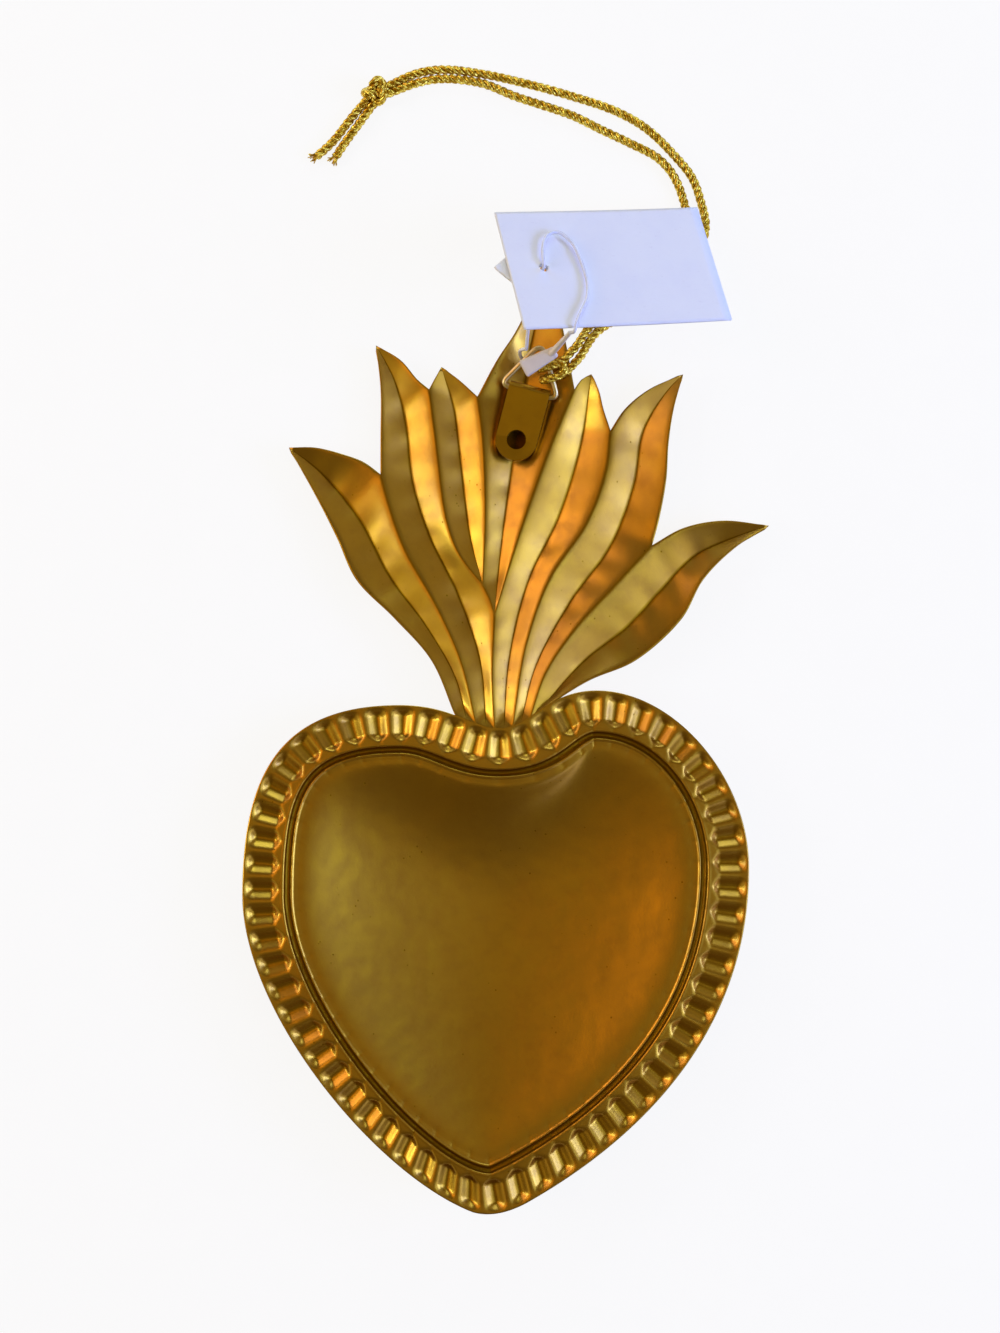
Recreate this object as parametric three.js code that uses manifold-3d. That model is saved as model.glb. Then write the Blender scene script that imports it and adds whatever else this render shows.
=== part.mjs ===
// Heart ornament with a crown of flames: one pressed brass sheet with an enamelled field on its front,
// a folded hanger strap with a ring, a gilt hanging cord and a blank card on a nylon loop.
// It lies face down, so its hollow back faces +Z and its flames point to +Y. Sizes are in millimetres.
import * as THREE from 'three';
import { mergeVertices } from 'three/addons/utils/BufferGeometryUtils.js';
import Module from 'manifold-3d';

const wasm = await Module();
wasm.setup();

// Sheet and fits
const sheetThickness = 0.6;
const fitGap = 0.3;

// Heart outline: a closed run of cubic curves, one per row, as anchor, handle, handle,
// in hundredths of the heart's width and height from its centre
const heartWidth = 103.5;
const heartHeight = 107;
const heartControl = [
  [0, -58.9], [24.6, -47.2], [49.8, -26.2],
  [49.8, 7.5], [49.8, 24.3], [35.3, 41.1],
  [19.8, 41.1], [9.7, 41.1], [6.8, 33.8],
  [0.5, 33.8], [-4.8, 33.8], [-8.7, 38.3],
  [-19.3, 38.3], [-44.4, 38.3], [-50.2, 23.4],
  [-50.2, 2.3], [-50.2, -22], [-18.8, -56.1],
];

// Rim, measured inwards from the trimmed edge
const rimWidth = 11.3;
const edgeLand = 0.7;
const fluteCount = 60;
const fluteDepth = 1.5;
const fluteFullFrom = 2.3;
const fluteFullTo = 5.6;
const fluteEnd = 7.7;
const grooveStart = 8.3;
const grooveBottom = 9.2;
const grooveEnd = 10.1;
const grooveDepth = 1.4;
const grooveLip = 0.3;

// Dished field inside the rim
const fieldStep = 0.9;
const dishDepth = 6;
const dishRoundness = 1.7;
const dishRadius = 42;
const dishRings = [0.12, 0.35, 0.6, 0.84];
const enamelThickness = 0.5;
const enamelMargin = 0.04;
const enamelClearance = 0.65;

// Points round the heart
const pointsPerFlute = 4;
const rimPoints = fluteCount * pointsPerFlute;
const groovePoints = rimPoints / 2;
const dishPoints = rimPoints / 4;

// Flames: each is a hollow fold with a crease, between ridges that it shares with its neighbours.
// The feet are in hundredths of the heart; all else is in hundredths of the crown's width and height
const crownWidth = 99;
const crownHeight = 94.2;
const crownFoot = [1, 37.4];
const creaseDepth = 2.8;
const faceSlope = 0.53;
const creaseFade = 3;
const flameStep = 5;
const flameFootWest = [-8.1, 36.7];
const flameFootEast = [10.3, 39.1];
const tips = [
  [-44.4, 57.5], [-26.3, 80.1], [-12.6, 75.3], [9.1, 100], [18.7, 73.7], [37.9, 73.7], [55.6, 40.3]];
const notches = [
  [-25.3, 51.6], [-15.2, 70.4], [-5.1, 68.8], [15.2, 70.4], [22.7, 61.3], [31.3, 36]];
const forkThird = [-4, 27.4];
const forkCentre = [-1.5, 21];

// Hanger strap, folded over the ring's bar
const strapWidth = 8.6;
const strapThickness = 0.5;
const strapLength = 14.5;
const strapHole = 4;
const strapTurn = THREE.MathUtils.degToRad(-15);
const strapBar = [5.7, 69.6];
const leafGap = 0.3;
const foldTaper = 10;
const solderLength = 4.5;
const solderWidth = 1.6;
const solderOffset = 2.3;
const solderFromBar = 6;

// Ring in the fold
const wireRadius = 0.55;
const barClearance = 0.36;
const ringWidth = 12.4;
const ringHeight = 10.5;
const ringCorner = 2.2;
const ringCrown = 3;
const ringSplit = 0.5;
const ringPitch = THREE.MathUtils.degToRad(17);

// Hanging cord
const cordRadius = 0.92;
const cordSides = 8;
const hitchAlongLeg = 8;
const hitchLean = 0.13;
const knotRadius = 2.45;
const knotLength = 5.6;

// Lay of the free cord on the table, in hundredths of its reach beyond the ring's bar
const loopReach = 67.8;
const knotCentre = [-46.9, 92.6];

// Nylon loop and blank card
const filamentRadius = 0.35;
const filamentSides = 8;
const lockWidth = 3;
const lockLength = 8.1;
const lockThickness = 1.5;
const neckRadius = 0.75;
const cardWidth = 44;
const cardHeight = 28;
const cardThickness = 0.4;
const cardHole = 2.2;
const cardHoleFromLeft = 7.2;
const cardHoleFromTop = 13.7;
const cardHolePlace = new THREE.Vector3(2.5, 22.2, 14.4);
const cardTurn = new THREE.Euler(
  THREE.MathUtils.degToRad(-23), THREE.MathUtils.degToRad(17.3), THREE.MathUtils.degToRad(5.7), 'ZYX');
const leafSide = 13.9;

// Finishes
const brass = { color: 0xa07a2c, metalness: 1, roughness: 0.36 };
const finishes = {
  brass: new THREE.MeshStandardMaterial(brass),
  enamel: new THREE.MeshStandardMaterial({ color: 0x8e1016, metalness: 0, roughness: 0.15 }),
  strap: new THREE.MeshStandardMaterial({ color: 0x8a6414, metalness: 1, roughness: 0.32 }),
  solder: new THREE.MeshStandardMaterial({ color: 0x9b9a94, metalness: 1, roughness: 0.45 }),
  wire: new THREE.MeshStandardMaterial({ color: 0xa58654, metalness: 1, roughness: 0.3 }),
  cord: new THREE.MeshStandardMaterial({ color: 0x9a7714, metalness: 0.8, roughness: 0.4 }),
  nylon: new THREE.MeshStandardMaterial({ color: 0xd9d3c6, metalness: 0, roughness: 0.3 }),
  card: new THREE.MeshStandardMaterial({ color: 0xdfe0f0, metalness: 0, roughness: 0.7 }),
};

const flat = ([x, y]) => new THREE.Vector2(x, y);
const onHeart = ([x, y]) => new THREE.Vector2((x * heartWidth) / 100, (y * heartHeight) / 100);
const onCrown = ([x, y]) => onHeart(crownFoot).add(flat([(x * crownWidth) / 100, (y * crownHeight) / 100]));
const space = ([x, y, z]) => new THREE.Vector3(x, y, z);

// One face of a sheet: shared points and the triangles between them, facing +Z
class Skin {
  constructor() {
    this.points = [];
    this.triangles = [];
  }

  row(points) {
    return points.map((point) => this.points.push(point) - 1);
  }

  face(a, b, c) {
    if (a !== b && b !== c && c !== a) {
      this.triangles.push([a, b, c]);
    }
  }

  // How far along its row each point lies, from 0 to 1
  shares(row) {
    const travelled = [0];
    for (let i = 1; i < row.length; i += 1) {
      travelled.push(travelled[i - 1] + this.points[row[i]].distanceTo(this.points[row[i - 1]]));
    }
    return travelled.map((length) => length / travelled[row.length - 1]);
  }

  // Fills the band between two rows, of which the second lies to the left of the first
  band(right, left, rightShares, leftShares) {
    let i = 0;
    let j = 0;
    while (i < right.length - 1 || j < left.length - 1) {
      const leftDone = j === left.length - 1;
      const rightDone = i === right.length - 1;
      if (leftDone || (!rightDone && rightShares[i + 1] <= leftShares[j + 1] + 1e-9)) {
        this.face(right[i], right[i + 1], left[j]);
        i += 1;
      } else {
        this.face(right[i], left[j + 1], left[j]);
        j += 1;
      }
    }
  }

  flowBand(right, left) {
    this.band(right, left, this.shares(right), this.shares(left));
  }

  ringBand(outer, inner) {
    const even = (row) => [...row, row[0]].map((_, i) => i / row.length);
    this.band([...outer, outer[0]], [...inner, inner[0]], even(outer), even(inner));
  }

  fan(ring, centre) {
    const [hub] = this.row([centre]);
    ring.forEach((index, i) => this.face(index, ring[(i + 1) % ring.length], hub));
  }

  // The closed solid of this face, a second one below it and a wall round every free edge
  thicken(thickness) {
    const count = this.points.length;
    const below = this.points.map((point) => point.clone().setZ(point.z - thickness));
    const faces = this.triangles.flatMap(([a, b, c]) => [[a, b, c], [c + count, b + count, a + count]]);
    const edges = this.triangles.flatMap(([a, b, c]) => [[a, b], [b, c], [c, a]]);
    const taken = new Set(edges.map(([a, b]) => `${a} ${b}`));
    for (const [a, b] of edges) {
      if (!taken.has(`${b} ${a}`)) {
        faces.push([a, a + count, b + count], [a, b + count, b]);
      }
    }
    const geometry = new THREE.BufferGeometry().setFromPoints([...this.points, ...below]);
    geometry.setIndex(faces.flat());
    geometry.computeVertexNormals();
    return geometry;
  }
}

// Joins equal points and drops the faces that shrink to a line
function welded(geometry) {
  const plain = geometry.clone();
  plain.deleteAttribute('normal');
  plain.deleteAttribute('uv');
  const merged = mergeVertices(plain, 1e-4);
  const corners = merged.index.array;
  const kept = [];
  for (let i = 0; i < corners.length; i += 3) {
    const [a, b, c] = corners.slice(i, i + 3);
    if (a !== b && b !== c && c !== a) {
      kept.push(a, b, c);
    }
  }
  merged.setIndex(kept);
  merged.computeVertexNormals();
  return merged;
}

function named(name, geometry, finish) {
  const mesh = new THREE.Mesh(welded(geometry), finish);
  mesh.name = name;
  return mesh;
}

// Booleans
function toSolid(geometry) {
  const merged = welded(geometry);
  return new wasm.Manifold(new wasm.Mesh({
    numProp: 3,
    vertProperties: new Float32Array(merged.attributes.position.array),
    triVerts: new Uint32Array(merged.index.array),
  }));
}

function toGeometry(solid) {
  const mesh = solid.getMesh();
  const geometry = new THREE.BufferGeometry();
  geometry.setAttribute('position', new THREE.BufferAttribute(new Float32Array(mesh.vertProperties), 3));
  geometry.setIndex(new THREE.BufferAttribute(new Uint32Array(mesh.triVerts), 1));
  geometry.computeVertexNormals();
  return geometry;
}

// Round section of a tube, as a polygon
function roundSection(radius, sides) {
  const corner = (i) => new THREE.Vector2(
    radius * Math.cos((2 * Math.PI * i) / sides), radius * Math.sin((2 * Math.PI * i) / sides));
  return new THREE.Shape(Array.from({ length: sides }, (_, i) => corner(i)));
}

function tubeAlong(path, radius, sides, steps) {
  const section = roundSection(radius, sides);
  return new THREE.ExtrudeGeometry(section, { steps, extrudePath: path, bevelEnabled: false });
}

function smoothTube(points, radius, sides, steps) {
  return tubeAlong(new THREE.CatmullRomCurve3(points, false, 'centripetal'), radius, sides, steps);
}

// Moves every leg of a closed control polygon inwards and joins them again at their crossings
function insetControl(control, distance) {
  const points = control.map(onHeart);
  const count = points.length;
  return points.map((point, i) => {
    const arriving = point.clone().sub(points[(i + count - 1) % count]).normalize();
    const leaving = points[(i + 1) % count].clone().sub(point).normalize();
    const inArriving = new THREE.Vector2(-arriving.y, arriving.x);
    const inLeaving = new THREE.Vector2(-leaving.y, leaving.x);
    const mitre = inArriving.clone().add(inLeaving);
    return point.clone().addScaledVector(mitre, distance / (1 + inArriving.dot(inLeaving)));
  });
}

function closedCurves(points) {
  const curves = [];
  for (let i = 0; i < points.length; i += 3) {
    curves.push(new THREE.CubicBezierCurve(
      points[i], points[i + 1], points[i + 2], points[(i + 3) % points.length]));
  }
  return curves;
}

const edgeCurves = closedCurves(heartControl.map(onHeart));
const fieldCurves = closedCurves(insetControl(heartControl, rimWidth));

// Point on one of the lines that run inwards over the rim, from 0 round to 1
function rimPoint(round, inset) {
  const along = (round % 1) * edgeCurves.length;
  const piece = Math.floor(along);
  const edge = edgeCurves[piece].getPoint(along - piece);
  const field = fieldCurves[piece].getPoint(along - piece);
  return edge.lerp(field, inset / rimWidth);
}

// Places round the heart at equal steps along the middle of the flutes
function evenPlaces(count) {
  const middle = (fluteFullFrom + fluteFullTo) / 2;
  const fineness = 2400;
  const places = [];
  const travelled = [0];
  for (let i = 1; i <= fineness; i += 1) {
    const step = rimPoint(i / fineness, middle).distanceTo(rimPoint((i - 1) / fineness, middle));
    travelled.push(travelled[i - 1] + step);
  }
  let next = 0;
  for (let k = 0; k < count; k += 1) {
    const wanted = (travelled[fineness] * k) / count;
    while (travelled[next + 1] < wanted) {
      next += 1;
    }
    const share = (wanted - travelled[next]) / (travelled[next + 1] - travelled[next]);
    places.push((next + share) / fineness);
  }
  return places;
}

const places = evenPlaces(rimPoints);
const everyPlace = (count) => places.filter((_, k) => k % (rimPoints / count) === 0);

// Ring of points at one distance from the edge, with the given share of the flutes' depth
function rimRing(count, inset, height, fluteShare) {
  return everyPlace(count).map((place, k) => {
    const across = (1 - Math.cos((2 * Math.PI * k * fluteCount) / count)) / 2;
    const { x, y } = rimPoint(place, inset);
    return new THREE.Vector3(x, y, height - fluteDepth * fluteShare * across);
  });
}

// Ring of points in the dish, at one share of the way in: a heart at the rim, rounder towards the centre
function dishRing(count, share, drop) {
  const height = -fieldStep - dishDepth * (1 - (1 - share) ** dishRoundness) - drop;
  return everyPlace(count).map((place) => {
    const spoke = rimPoint(place, rimWidth);
    const round = spoke.clone().setLength(dishRadius);
    const { x, y } = spoke.lerp(round, share).multiplyScalar(1 - share);
    return new THREE.Vector3(x, y, height);
  });
}

function addDish(skin, firstRing, drop) {
  let outer = firstRing;
  for (const share of dishRings) {
    const inner = skin.row(dishRing(dishPoints, share, drop));
    skin.ringBand(outer, inner);
    outer = inner;
  }
  const lowest = skin.points[outer[0]].z;
  skin.fan(outer, new THREE.Vector3(0, 0, lowest));
}

// Rim and dish of the heart; gives back the row of points on its trimmed edge
function addHeart(skin) {
  const edge = skin.row(rimRing(rimPoints, 0, 0, 0));
  const rings = [
    edge,
    skin.row(rimRing(rimPoints, edgeLand, 0, 0)),
    skin.row(rimRing(rimPoints, fluteFullFrom, 0, 1)),
    skin.row(rimRing(rimPoints, fluteFullTo, 0, 1)),
    skin.row(rimRing(rimPoints, fluteEnd, 0, 0)),
    skin.row(rimRing(groovePoints, grooveStart, 0, 0)),
    skin.row(rimRing(groovePoints, grooveBottom, -grooveDepth, 0)),
    skin.row(rimRing(groovePoints, grooveEnd, -grooveLip, 0)),
    skin.row(rimRing(groovePoints, rimWidth, -fieldStep, 0)),
  ];
  for (let i = 1; i < rings.length; i += 1) {
    skin.ringBand(rings[i - 1], rings[i]);
  }
  addDish(skin, rings.at(-1), 0);
  return edge;
}

function nearestOnRow(skin, row, { x, y }) {
  const gaps = row.map((index) => Math.hypot(skin.points[index].x - x, skin.points[index].y - y));
  return gaps.indexOf(Math.min(...gaps));
}

function distanceToRow(skin, point, row) {
  const closest = new THREE.Vector3();
  const gaps = row.slice(1).map((index, i) => {
    const piece = new THREE.Line3(skin.points[row[i]], skin.points[index]);
    piece.closestPointToPoint(point, true, closest);
    return closest.distanceTo(point);
  });
  return Math.min(...gaps);
}

// The seven flames, grown from the heart's edge between the two outer feet
function addFlames(skin, edge) {
  const west = nearestOnRow(skin, edge, onHeart(flameFootWest));
  const east = nearestOnRow(skin, edge, onHeart(flameFootEast));
  const footCount = 10;
  const feet = Array.from(
    { length: footCount + 1 }, (_, k) => Math.round(west + ((east - west) * k) / footCount));
  const foot = (k) => edge[feet[k]];
  const level = ({ x, y }) => new THREE.Vector3(x, y, 0);
  const rise = (share) => skin.row([level(onCrown(share))])[0];
  const tip = tips.map(rise);
  const notch = notches.map(rise);
  const third = rise(forkThird);
  const centre = rise(forkCentre);

  const flow = (from, through, to) => {
    const ends = [from, to].map((index) => new THREE.Vector2(skin.points[index].x, skin.points[index].y));
    const curve = new THREE.SplineCurve([ends[0], ...through.map(onCrown), ends[1]]);
    const steps = Math.max(2, Math.round(curve.getLength() / flameStep));
    const between = curve.getSpacedPoints(steps).slice(1, -1);
    return [from, ...skin.row(between.map(level)), to];
  };
  const join = (...rows) => rows.reduce((whole, row) => [...whole, ...row.slice(1)]);

  const ridges = {
    firstSecond: flow(foot(2), [[-8.6, 10.8], [-13.6, 22.6], [-20.2, 34.9], [-23.7, 45.2]], notch[0]),
    secondFifth: flow(foot(4), [[-2, 7]], centre),
    secondCentre: flow(centre, [[-2.5, 24.2]], third),
    secondThird: flow(third, [[-9.1, 34.4], [-11.6, 41.9], [-13.6, 57.5]], notch[1]),
    thirdCentre: flow(third, [[-3.5, 39.8], [-3.5, 48.4], [-4, 59.7]], notch[2]),
    centreFifth: flow(centre, [[1, 29.6], [5.1, 43], [10.1, 57.5]], notch[3]),
    fifthSixth: flow(foot(6), [[5.1, 14.5], [10.1, 29], [17.7, 40.9], [21.7, 52.2]], notch[4]),
    sixthSeventh: flow(foot(8), [[9.1, 8.1], [15.7, 18.3], [23.2, 26.9]], notch[5]),
  };
  const flames = [
    {
      left: flow(
        foot(0), [[-14.6, 10.8], [-22.2, 19.9], [-30.3, 28.5], [-34.3, 37.6], [-38.4, 46.2]], tip[0]),
      right: join(ridges.firstSecond, flow(notch[0], [[-28.8, 54.3], [-32.8, 55.9], [-38.9, 57.5]], tip[0])),
      crease: flow(foot(1), [[-9.6, 7], [-15.7, 18.3], [-23.2, 29], [-29.8, 41.9], [-37.9, 52.2]], tip[0]),
      base: [0, 1, 2],
    },
    {
      left: join(ridges.firstSecond, flow(notch[0], [[-25.3, 59.7], [-25.3, 70.4]], tip[1])),
      right: join(
        ridges.secondFifth, ridges.secondCentre, ridges.secondThird,
        flow(notch[1], [[-17.7, 72.6], [-21.2, 76.9]], tip[1])),
      crease: flow(
        foot(3),
        [[-4.5, 10.8], [-9.1, 25.3], [-15.2, 38.7], [-18.7, 50.5], [-20.2, 63.4], [-22.7, 73.1]],
        tip[1]),
      base: [2, 3, 4],
    },
    {
      left: join(ridges.secondThird, flow(notch[1], [[-14.1, 72.6]], tip[2])),
      right: join(ridges.thirdCentre, flow(notch[2], [[-9.1, 72.6]], tip[2])),
      crease: flow(third, [[-6.6, 38.2], [-8.6, 54.3], [-10.1, 66.7]], tip[2]),
    },
    {
      left: join(
        ridges.secondCentre, ridges.thirdCentre,
        flow(notch[2], [[-1, 76.9], [3, 83.3], [6.1, 90.3]], tip[3])),
      right: join(ridges.centreFifth, flow(notch[3], [[14.1, 76.9], [12.6, 84.9], [11.1, 92.5]], tip[3])),
      crease: flow(centre, [[0, 37.1], [2, 52.7], [4, 66.1], [6.1, 80.6], [8.1, 90.3]], tip[3]),
    },
    {
      left: join(ridges.secondFifth, ridges.centreFifth, flow(notch[3], [[16.7, 72.6]], tip[4])),
      right: join(ridges.fifthSixth, flow(notch[4], [[21.2, 66.1], [20.2, 70.4]], tip[4])),
      crease: flow(foot(5), [[1.5, 10.8], [5.6, 28.5], [12.1, 43], [16.7, 59.1]], tip[4]),
      base: [4, 5, 6],
    },
    {
      left: join(ridges.fifthSixth, flow(notch[4], [[25.8, 66.1], [30.8, 70.4]], tip[5])),
      right: join(
        ridges.sixthSeventh,
        flow(notch[5], [[32.8, 41.9], [34.3, 50.5], [34.8, 58.6], [35.9, 66.1]], tip[5])),
      crease: flow(
        foot(7), [[7.1, 9.7], [14.6, 24.2], [22.7, 36], [27.8, 50], [29.8, 61.8], [34.8, 70.4]], tip[5]),
      base: [6, 7, 8],
    },
    {
      left: join(ridges.sixthSeventh, flow(notch[5], [[37.9, 39.8], [46, 41.4]], tip[6])),
      right: flow(foot(10), [[18.2, 6.5], [27.8, 10.8], [37.4, 19.9], [41.9, 28.5], [48.5, 35.5]], tip[6]),
      crease: flow(foot(9), [[17.2, 10.8], [26.3, 18.3], [33.3, 26.3], [40.4, 33.9], [49.5, 38.2]], tip[6]),
      base: [8, 9, 10],
    },
  ];

  // Points of the heart's edge that lie between two feet, from the eastern one on
  const edgeBetween = (westFoot, eastFoot) => edge.slice(feet[eastFoot] + 1, feet[westFoot]);
  for (const { left, right, crease, base } of flames) {
    const start = skin.points[crease[0]].clone();
    const depths = crease.map((index) => {
      const point = skin.points[index];
      const halfWidth = (distanceToRow(skin, point, left) + distanceToRow(skin, point, right)) / 2;
      const fade = Math.min(1, point.distanceTo(start) / creaseFade);
      return Math.min(creaseDepth, faceSlope * halfWidth) * fade;
    });
    crease.slice(1, -1).forEach((index, i) => skin.points[index].setZ(-depths[i + 1]));
    const leftFoot = base ? edgeBetween(base[0], base[1]) : [];
    const rightFoot = base ? edgeBetween(base[1], base[2]) : [];
    skin.flowBand(crease, [...leftFoot, ...left]);
    skin.flowBand(right, [...rightFoot, ...crease]);
  }
}

// Pressed sheet and the enamel laid in its field, on the front
const plateSkin = new Skin();
const heartEdge = addHeart(plateSkin);
const heartPoints = plateSkin.points.length;
addFlames(plateSkin, heartEdge);
const plate = named('pressed_plate', plateSkin.thicken(sheetThickness), finishes.brass);

const enamelDrop = sheetThickness + enamelClearance;
const enamelSkin = new Skin();
addDish(enamelSkin, enamelSkin.row(dishRing(groovePoints, enamelMargin, enamelDrop)), enamelDrop);
const enamel = named('enamel_field', enamelSkin.thicken(enamelThickness), finishes.enamel);

// Place of the ring's bar on the crown, and the height of the sheet's back at one place
const barPlan = onCrown(strapBar);
const probe = new THREE.Raycaster();
function sheetHeight(x, y) {
  probe.set(new THREE.Vector3(x, y, 2 * dishDepth), new THREE.Vector3(0, 0, -1));
  return probe.intersectObject(plate)[0].point.z;
}

// Highest place of the sheet under an outline in the strap's own plan
function highestUnder(outline) {
  const turned = outline.map(([x, y]) => flat([x, y]).rotateAround(new THREE.Vector2(), strapTurn));
  return Math.max(...turned.map((point) => sheetHeight(barPlan.x + point.x, barPlan.y + point.y)));
}

// Strap: a strip folded round the bar, seen from its side, then cut to its plan
const foldInside = wireRadius + barClearance;
const foldOutside = foldInside + strapThickness;
const strapEnd = strapWidth / 2;

function strapGeometry() {
  const leafTop = -foldInside + leafGap + strapThickness;
  const side = new THREE.Shape();
  side.moveTo(-strapLength, -foldOutside);
  side.lineTo(0, -foldOutside);
  side.absarc(0, 0, foldOutside, -Math.PI / 2, Math.PI / 2, false);
  side.lineTo(-foldTaper, leafTop);
  side.lineTo(-strapLength, leafTop);
  side.lineTo(-strapLength, leafTop - strapThickness);
  side.lineTo(-foldTaper, leafTop - strapThickness);
  side.lineTo(0, foldInside);
  side.absarc(0, 0, foldInside, Math.PI / 2, -Math.PI / 2, true);
  side.lineTo(-strapLength, -foldInside);
  side.closePath();
  const strip = new THREE.ExtrudeGeometry(side, { depth: strapWidth, bevelEnabled: false, curveSegments: 6 });
  strip.applyMatrix4(new THREE.Matrix4().makeBasis(
    new THREE.Vector3(0, 1, 0), new THREE.Vector3(0, 0, 1), new THREE.Vector3(1, 0, 0)));
  strip.translate(-strapWidth / 2, 0, 0);

  const plan = new THREE.Shape();
  plan.moveTo(strapEnd, 2 * foldOutside);
  plan.lineTo(-strapEnd, 2 * foldOutside);
  plan.absarc(0, strapEnd - strapLength, strapEnd, Math.PI, 2 * Math.PI, false);
  plan.closePath();
  const hole = new THREE.Path();
  hole.absarc(0, strapEnd - strapLength, strapHole / 2, 0, 2 * Math.PI, true);
  plan.holes.push(hole);
  const through = { depth: 4 * foldOutside, bevelEnabled: false, curveSegments: 10 };
  const cutter = new THREE.ExtrudeGeometry(plan, through);
  cutter.translate(0, 0, -2 * foldOutside);
  return toGeometry(toSolid(strip).intersect(toSolid(cutter)));
}

// The strap rests on the two faces of the flame under its long edges and its round end
function strapFootprint() {
  const outline = [];
  for (const x of [-strapEnd, strapEnd]) {
    for (let y = 0; y >= strapEnd - strapLength; y -= 1) {
      outline.push([x, y]);
    }
  }
  for (let k = 0; k <= 8; k += 1) {
    const angle = Math.PI * (1 + k / 8);
    outline.push([strapEnd * Math.cos(angle), strapEnd - strapLength + strapEnd * Math.sin(angle)]);
  }
  return outline;
}

const strapUnderside = highestUnder(strapFootprint()) + fitGap;

// Bead of solder between the strap and one face of the flame
function solderGeometry(sideSign) {
  const half = solderWidth / 2;
  const run = solderLength / 2 - half;
  const middle = sideSign * solderOffset;
  const outline = new THREE.Shape();
  outline.absarc(middle, run - solderFromBar, half, 0, Math.PI, false);
  outline.absarc(middle, -run - solderFromBar, half, Math.PI, 2 * Math.PI, false);
  const corners = outline.getPoints(4).map(({ x, y }) => [x, y]);
  const bottom = highestUnder(corners) + fitGap;
  const top = strapUnderside - fitGap;
  const filling = { depth: top - bottom, bevelEnabled: false, curveSegments: 4 };
  const bead = new THREE.ExtrudeGeometry(outline, filling);
  bead.translate(0, 0, bottom - strapUnderside - foldOutside);
  return bead;
}

// Ring: a rounded triangle of wire whose butted ends meet inside the fold
const cornerEast = new THREE.Vector3(ringWidth / 2, 0, 0);
const cornerWest = new THREE.Vector3(-ringWidth / 2, 0, 0);
const crown = new THREE.Vector3(0, ringHeight, 0);

function ringPath() {
  const path = new THREE.CurvePath();
  const start = new THREE.Vector3(ringSplit / 2, 0, 0);
  const end = new THREE.Vector3(-ringSplit / 2, 0, 0);
  const towards = (from, to, distance) => from.clone()
    .addScaledVector(to.clone().sub(from).normalize(), distance);
  const corners = [[cornerEast, ringCorner], [crown, ringCrown], [cornerWest, ringCorner]];
  const stops = [start, cornerEast, crown, cornerWest, end];
  let last = start;
  corners.forEach(([corner, trim], i) => {
    const before = towards(corner, stops[i], trim);
    const after = towards(corner, stops[i + 2], trim);
    path.add(new THREE.LineCurve3(last, before));
    path.add(new THREE.QuadraticBezierCurve3(before, corner, after));
    last = after;
  });
  path.add(new THREE.LineCurve3(last, end));
  return path;
}

// Hitch: the doubled cord goes round the ring's eastern leg twice, under its own bight, and leans up the leg
const legAlong = crown.clone().sub(cornerEast).normalize();
const legOut = new THREE.Vector3(legAlong.y, -legAlong.x, 0);
const hitchMiddle = cornerEast.clone().addScaledVector(legAlong, hitchAlongLeg);
const wrapReach = wireRadius + 1.2 * fitGap + cordRadius;
const wrapApart = cordRadius + fitGap;
const hitchHalf = [
  [5.0, wrapApart, -2.05], [3.3, wrapApart, -1.8], [1.5, wrapApart, -wrapReach],
  [0, wrapApart, -wrapReach - 0.1], [-1.4, wrapApart, -1.3], [-wrapReach - 0.1, wrapApart, 0],
  [-1.4, wrapApart, 1.3], [0, wrapApart, wrapReach + 0.1], [1.6, wrapApart, wrapReach + 0.2],
  [2.7, 0.8, wrapReach + 0.25], [3.1, 0, wrapReach + 0.3],
];
const leaning = (out) => hitchLean * Math.max(0, out - wrapReach) ** 2;
const onLeg = ([out, along, up]) => hitchMiddle.clone()
  .addScaledVector(legOut, out).addScaledVector(legAlong, along + leaning(out)).setZ(up);
const hitchRoute = [
  ...hitchHalf.map(onLeg),
  ...hitchHalf.slice(0, -1).reverse().map(([out, along, up]) => onLeg([out, -along, up])),
];

// Lock of the nylon loop: a moulded head over the hitch, with a neck that rises towards the card
const lockLow = new THREE.Vector3(0.6, 4.2, 4.1);
const lockHigh = new THREE.Vector3(3, 11.65, 4.1);
const neckEnd = new THREE.Vector3(7.2, 15, 14.2);

function lockGeometry() {
  const corner = lockWidth / 4;
  const plan = new THREE.Shape();
  plan.absarc(lockLength / 2 - corner, lockWidth / 2 - corner, corner, 0, Math.PI / 2, false);
  plan.absarc(corner - lockLength / 2, lockWidth / 2 - corner, corner, Math.PI / 2, Math.PI, false);
  plan.absarc(corner - lockLength / 2, corner - lockWidth / 2, corner, Math.PI, 1.5 * Math.PI, false);
  plan.absarc(lockLength / 2 - corner, corner - lockWidth / 2, corner, 1.5 * Math.PI, 2 * Math.PI, false);
  const block = { depth: lockThickness, bevelEnabled: false, curveSegments: 3 };
  const head = new THREE.ExtrudeGeometry(plan, block);
  const middle = lockLow.clone().lerp(lockHigh, 0.5);
  head.translate(0, 0, -lockThickness / 2);
  head.rotateZ(Math.atan2(lockHigh.y - lockLow.y, lockHigh.x - lockLow.x));
  head.translate(middle.x, middle.y, middle.z);
  const root = lockHigh.clone().lerp(lockLow, neckRadius / lockLength);
  const neck = tubeAlong(new THREE.LineCurve3(root, neckEnd), neckRadius, filamentSides, 1);
  return toGeometry(toSolid(head).add(toSolid(neck)));
}

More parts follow.
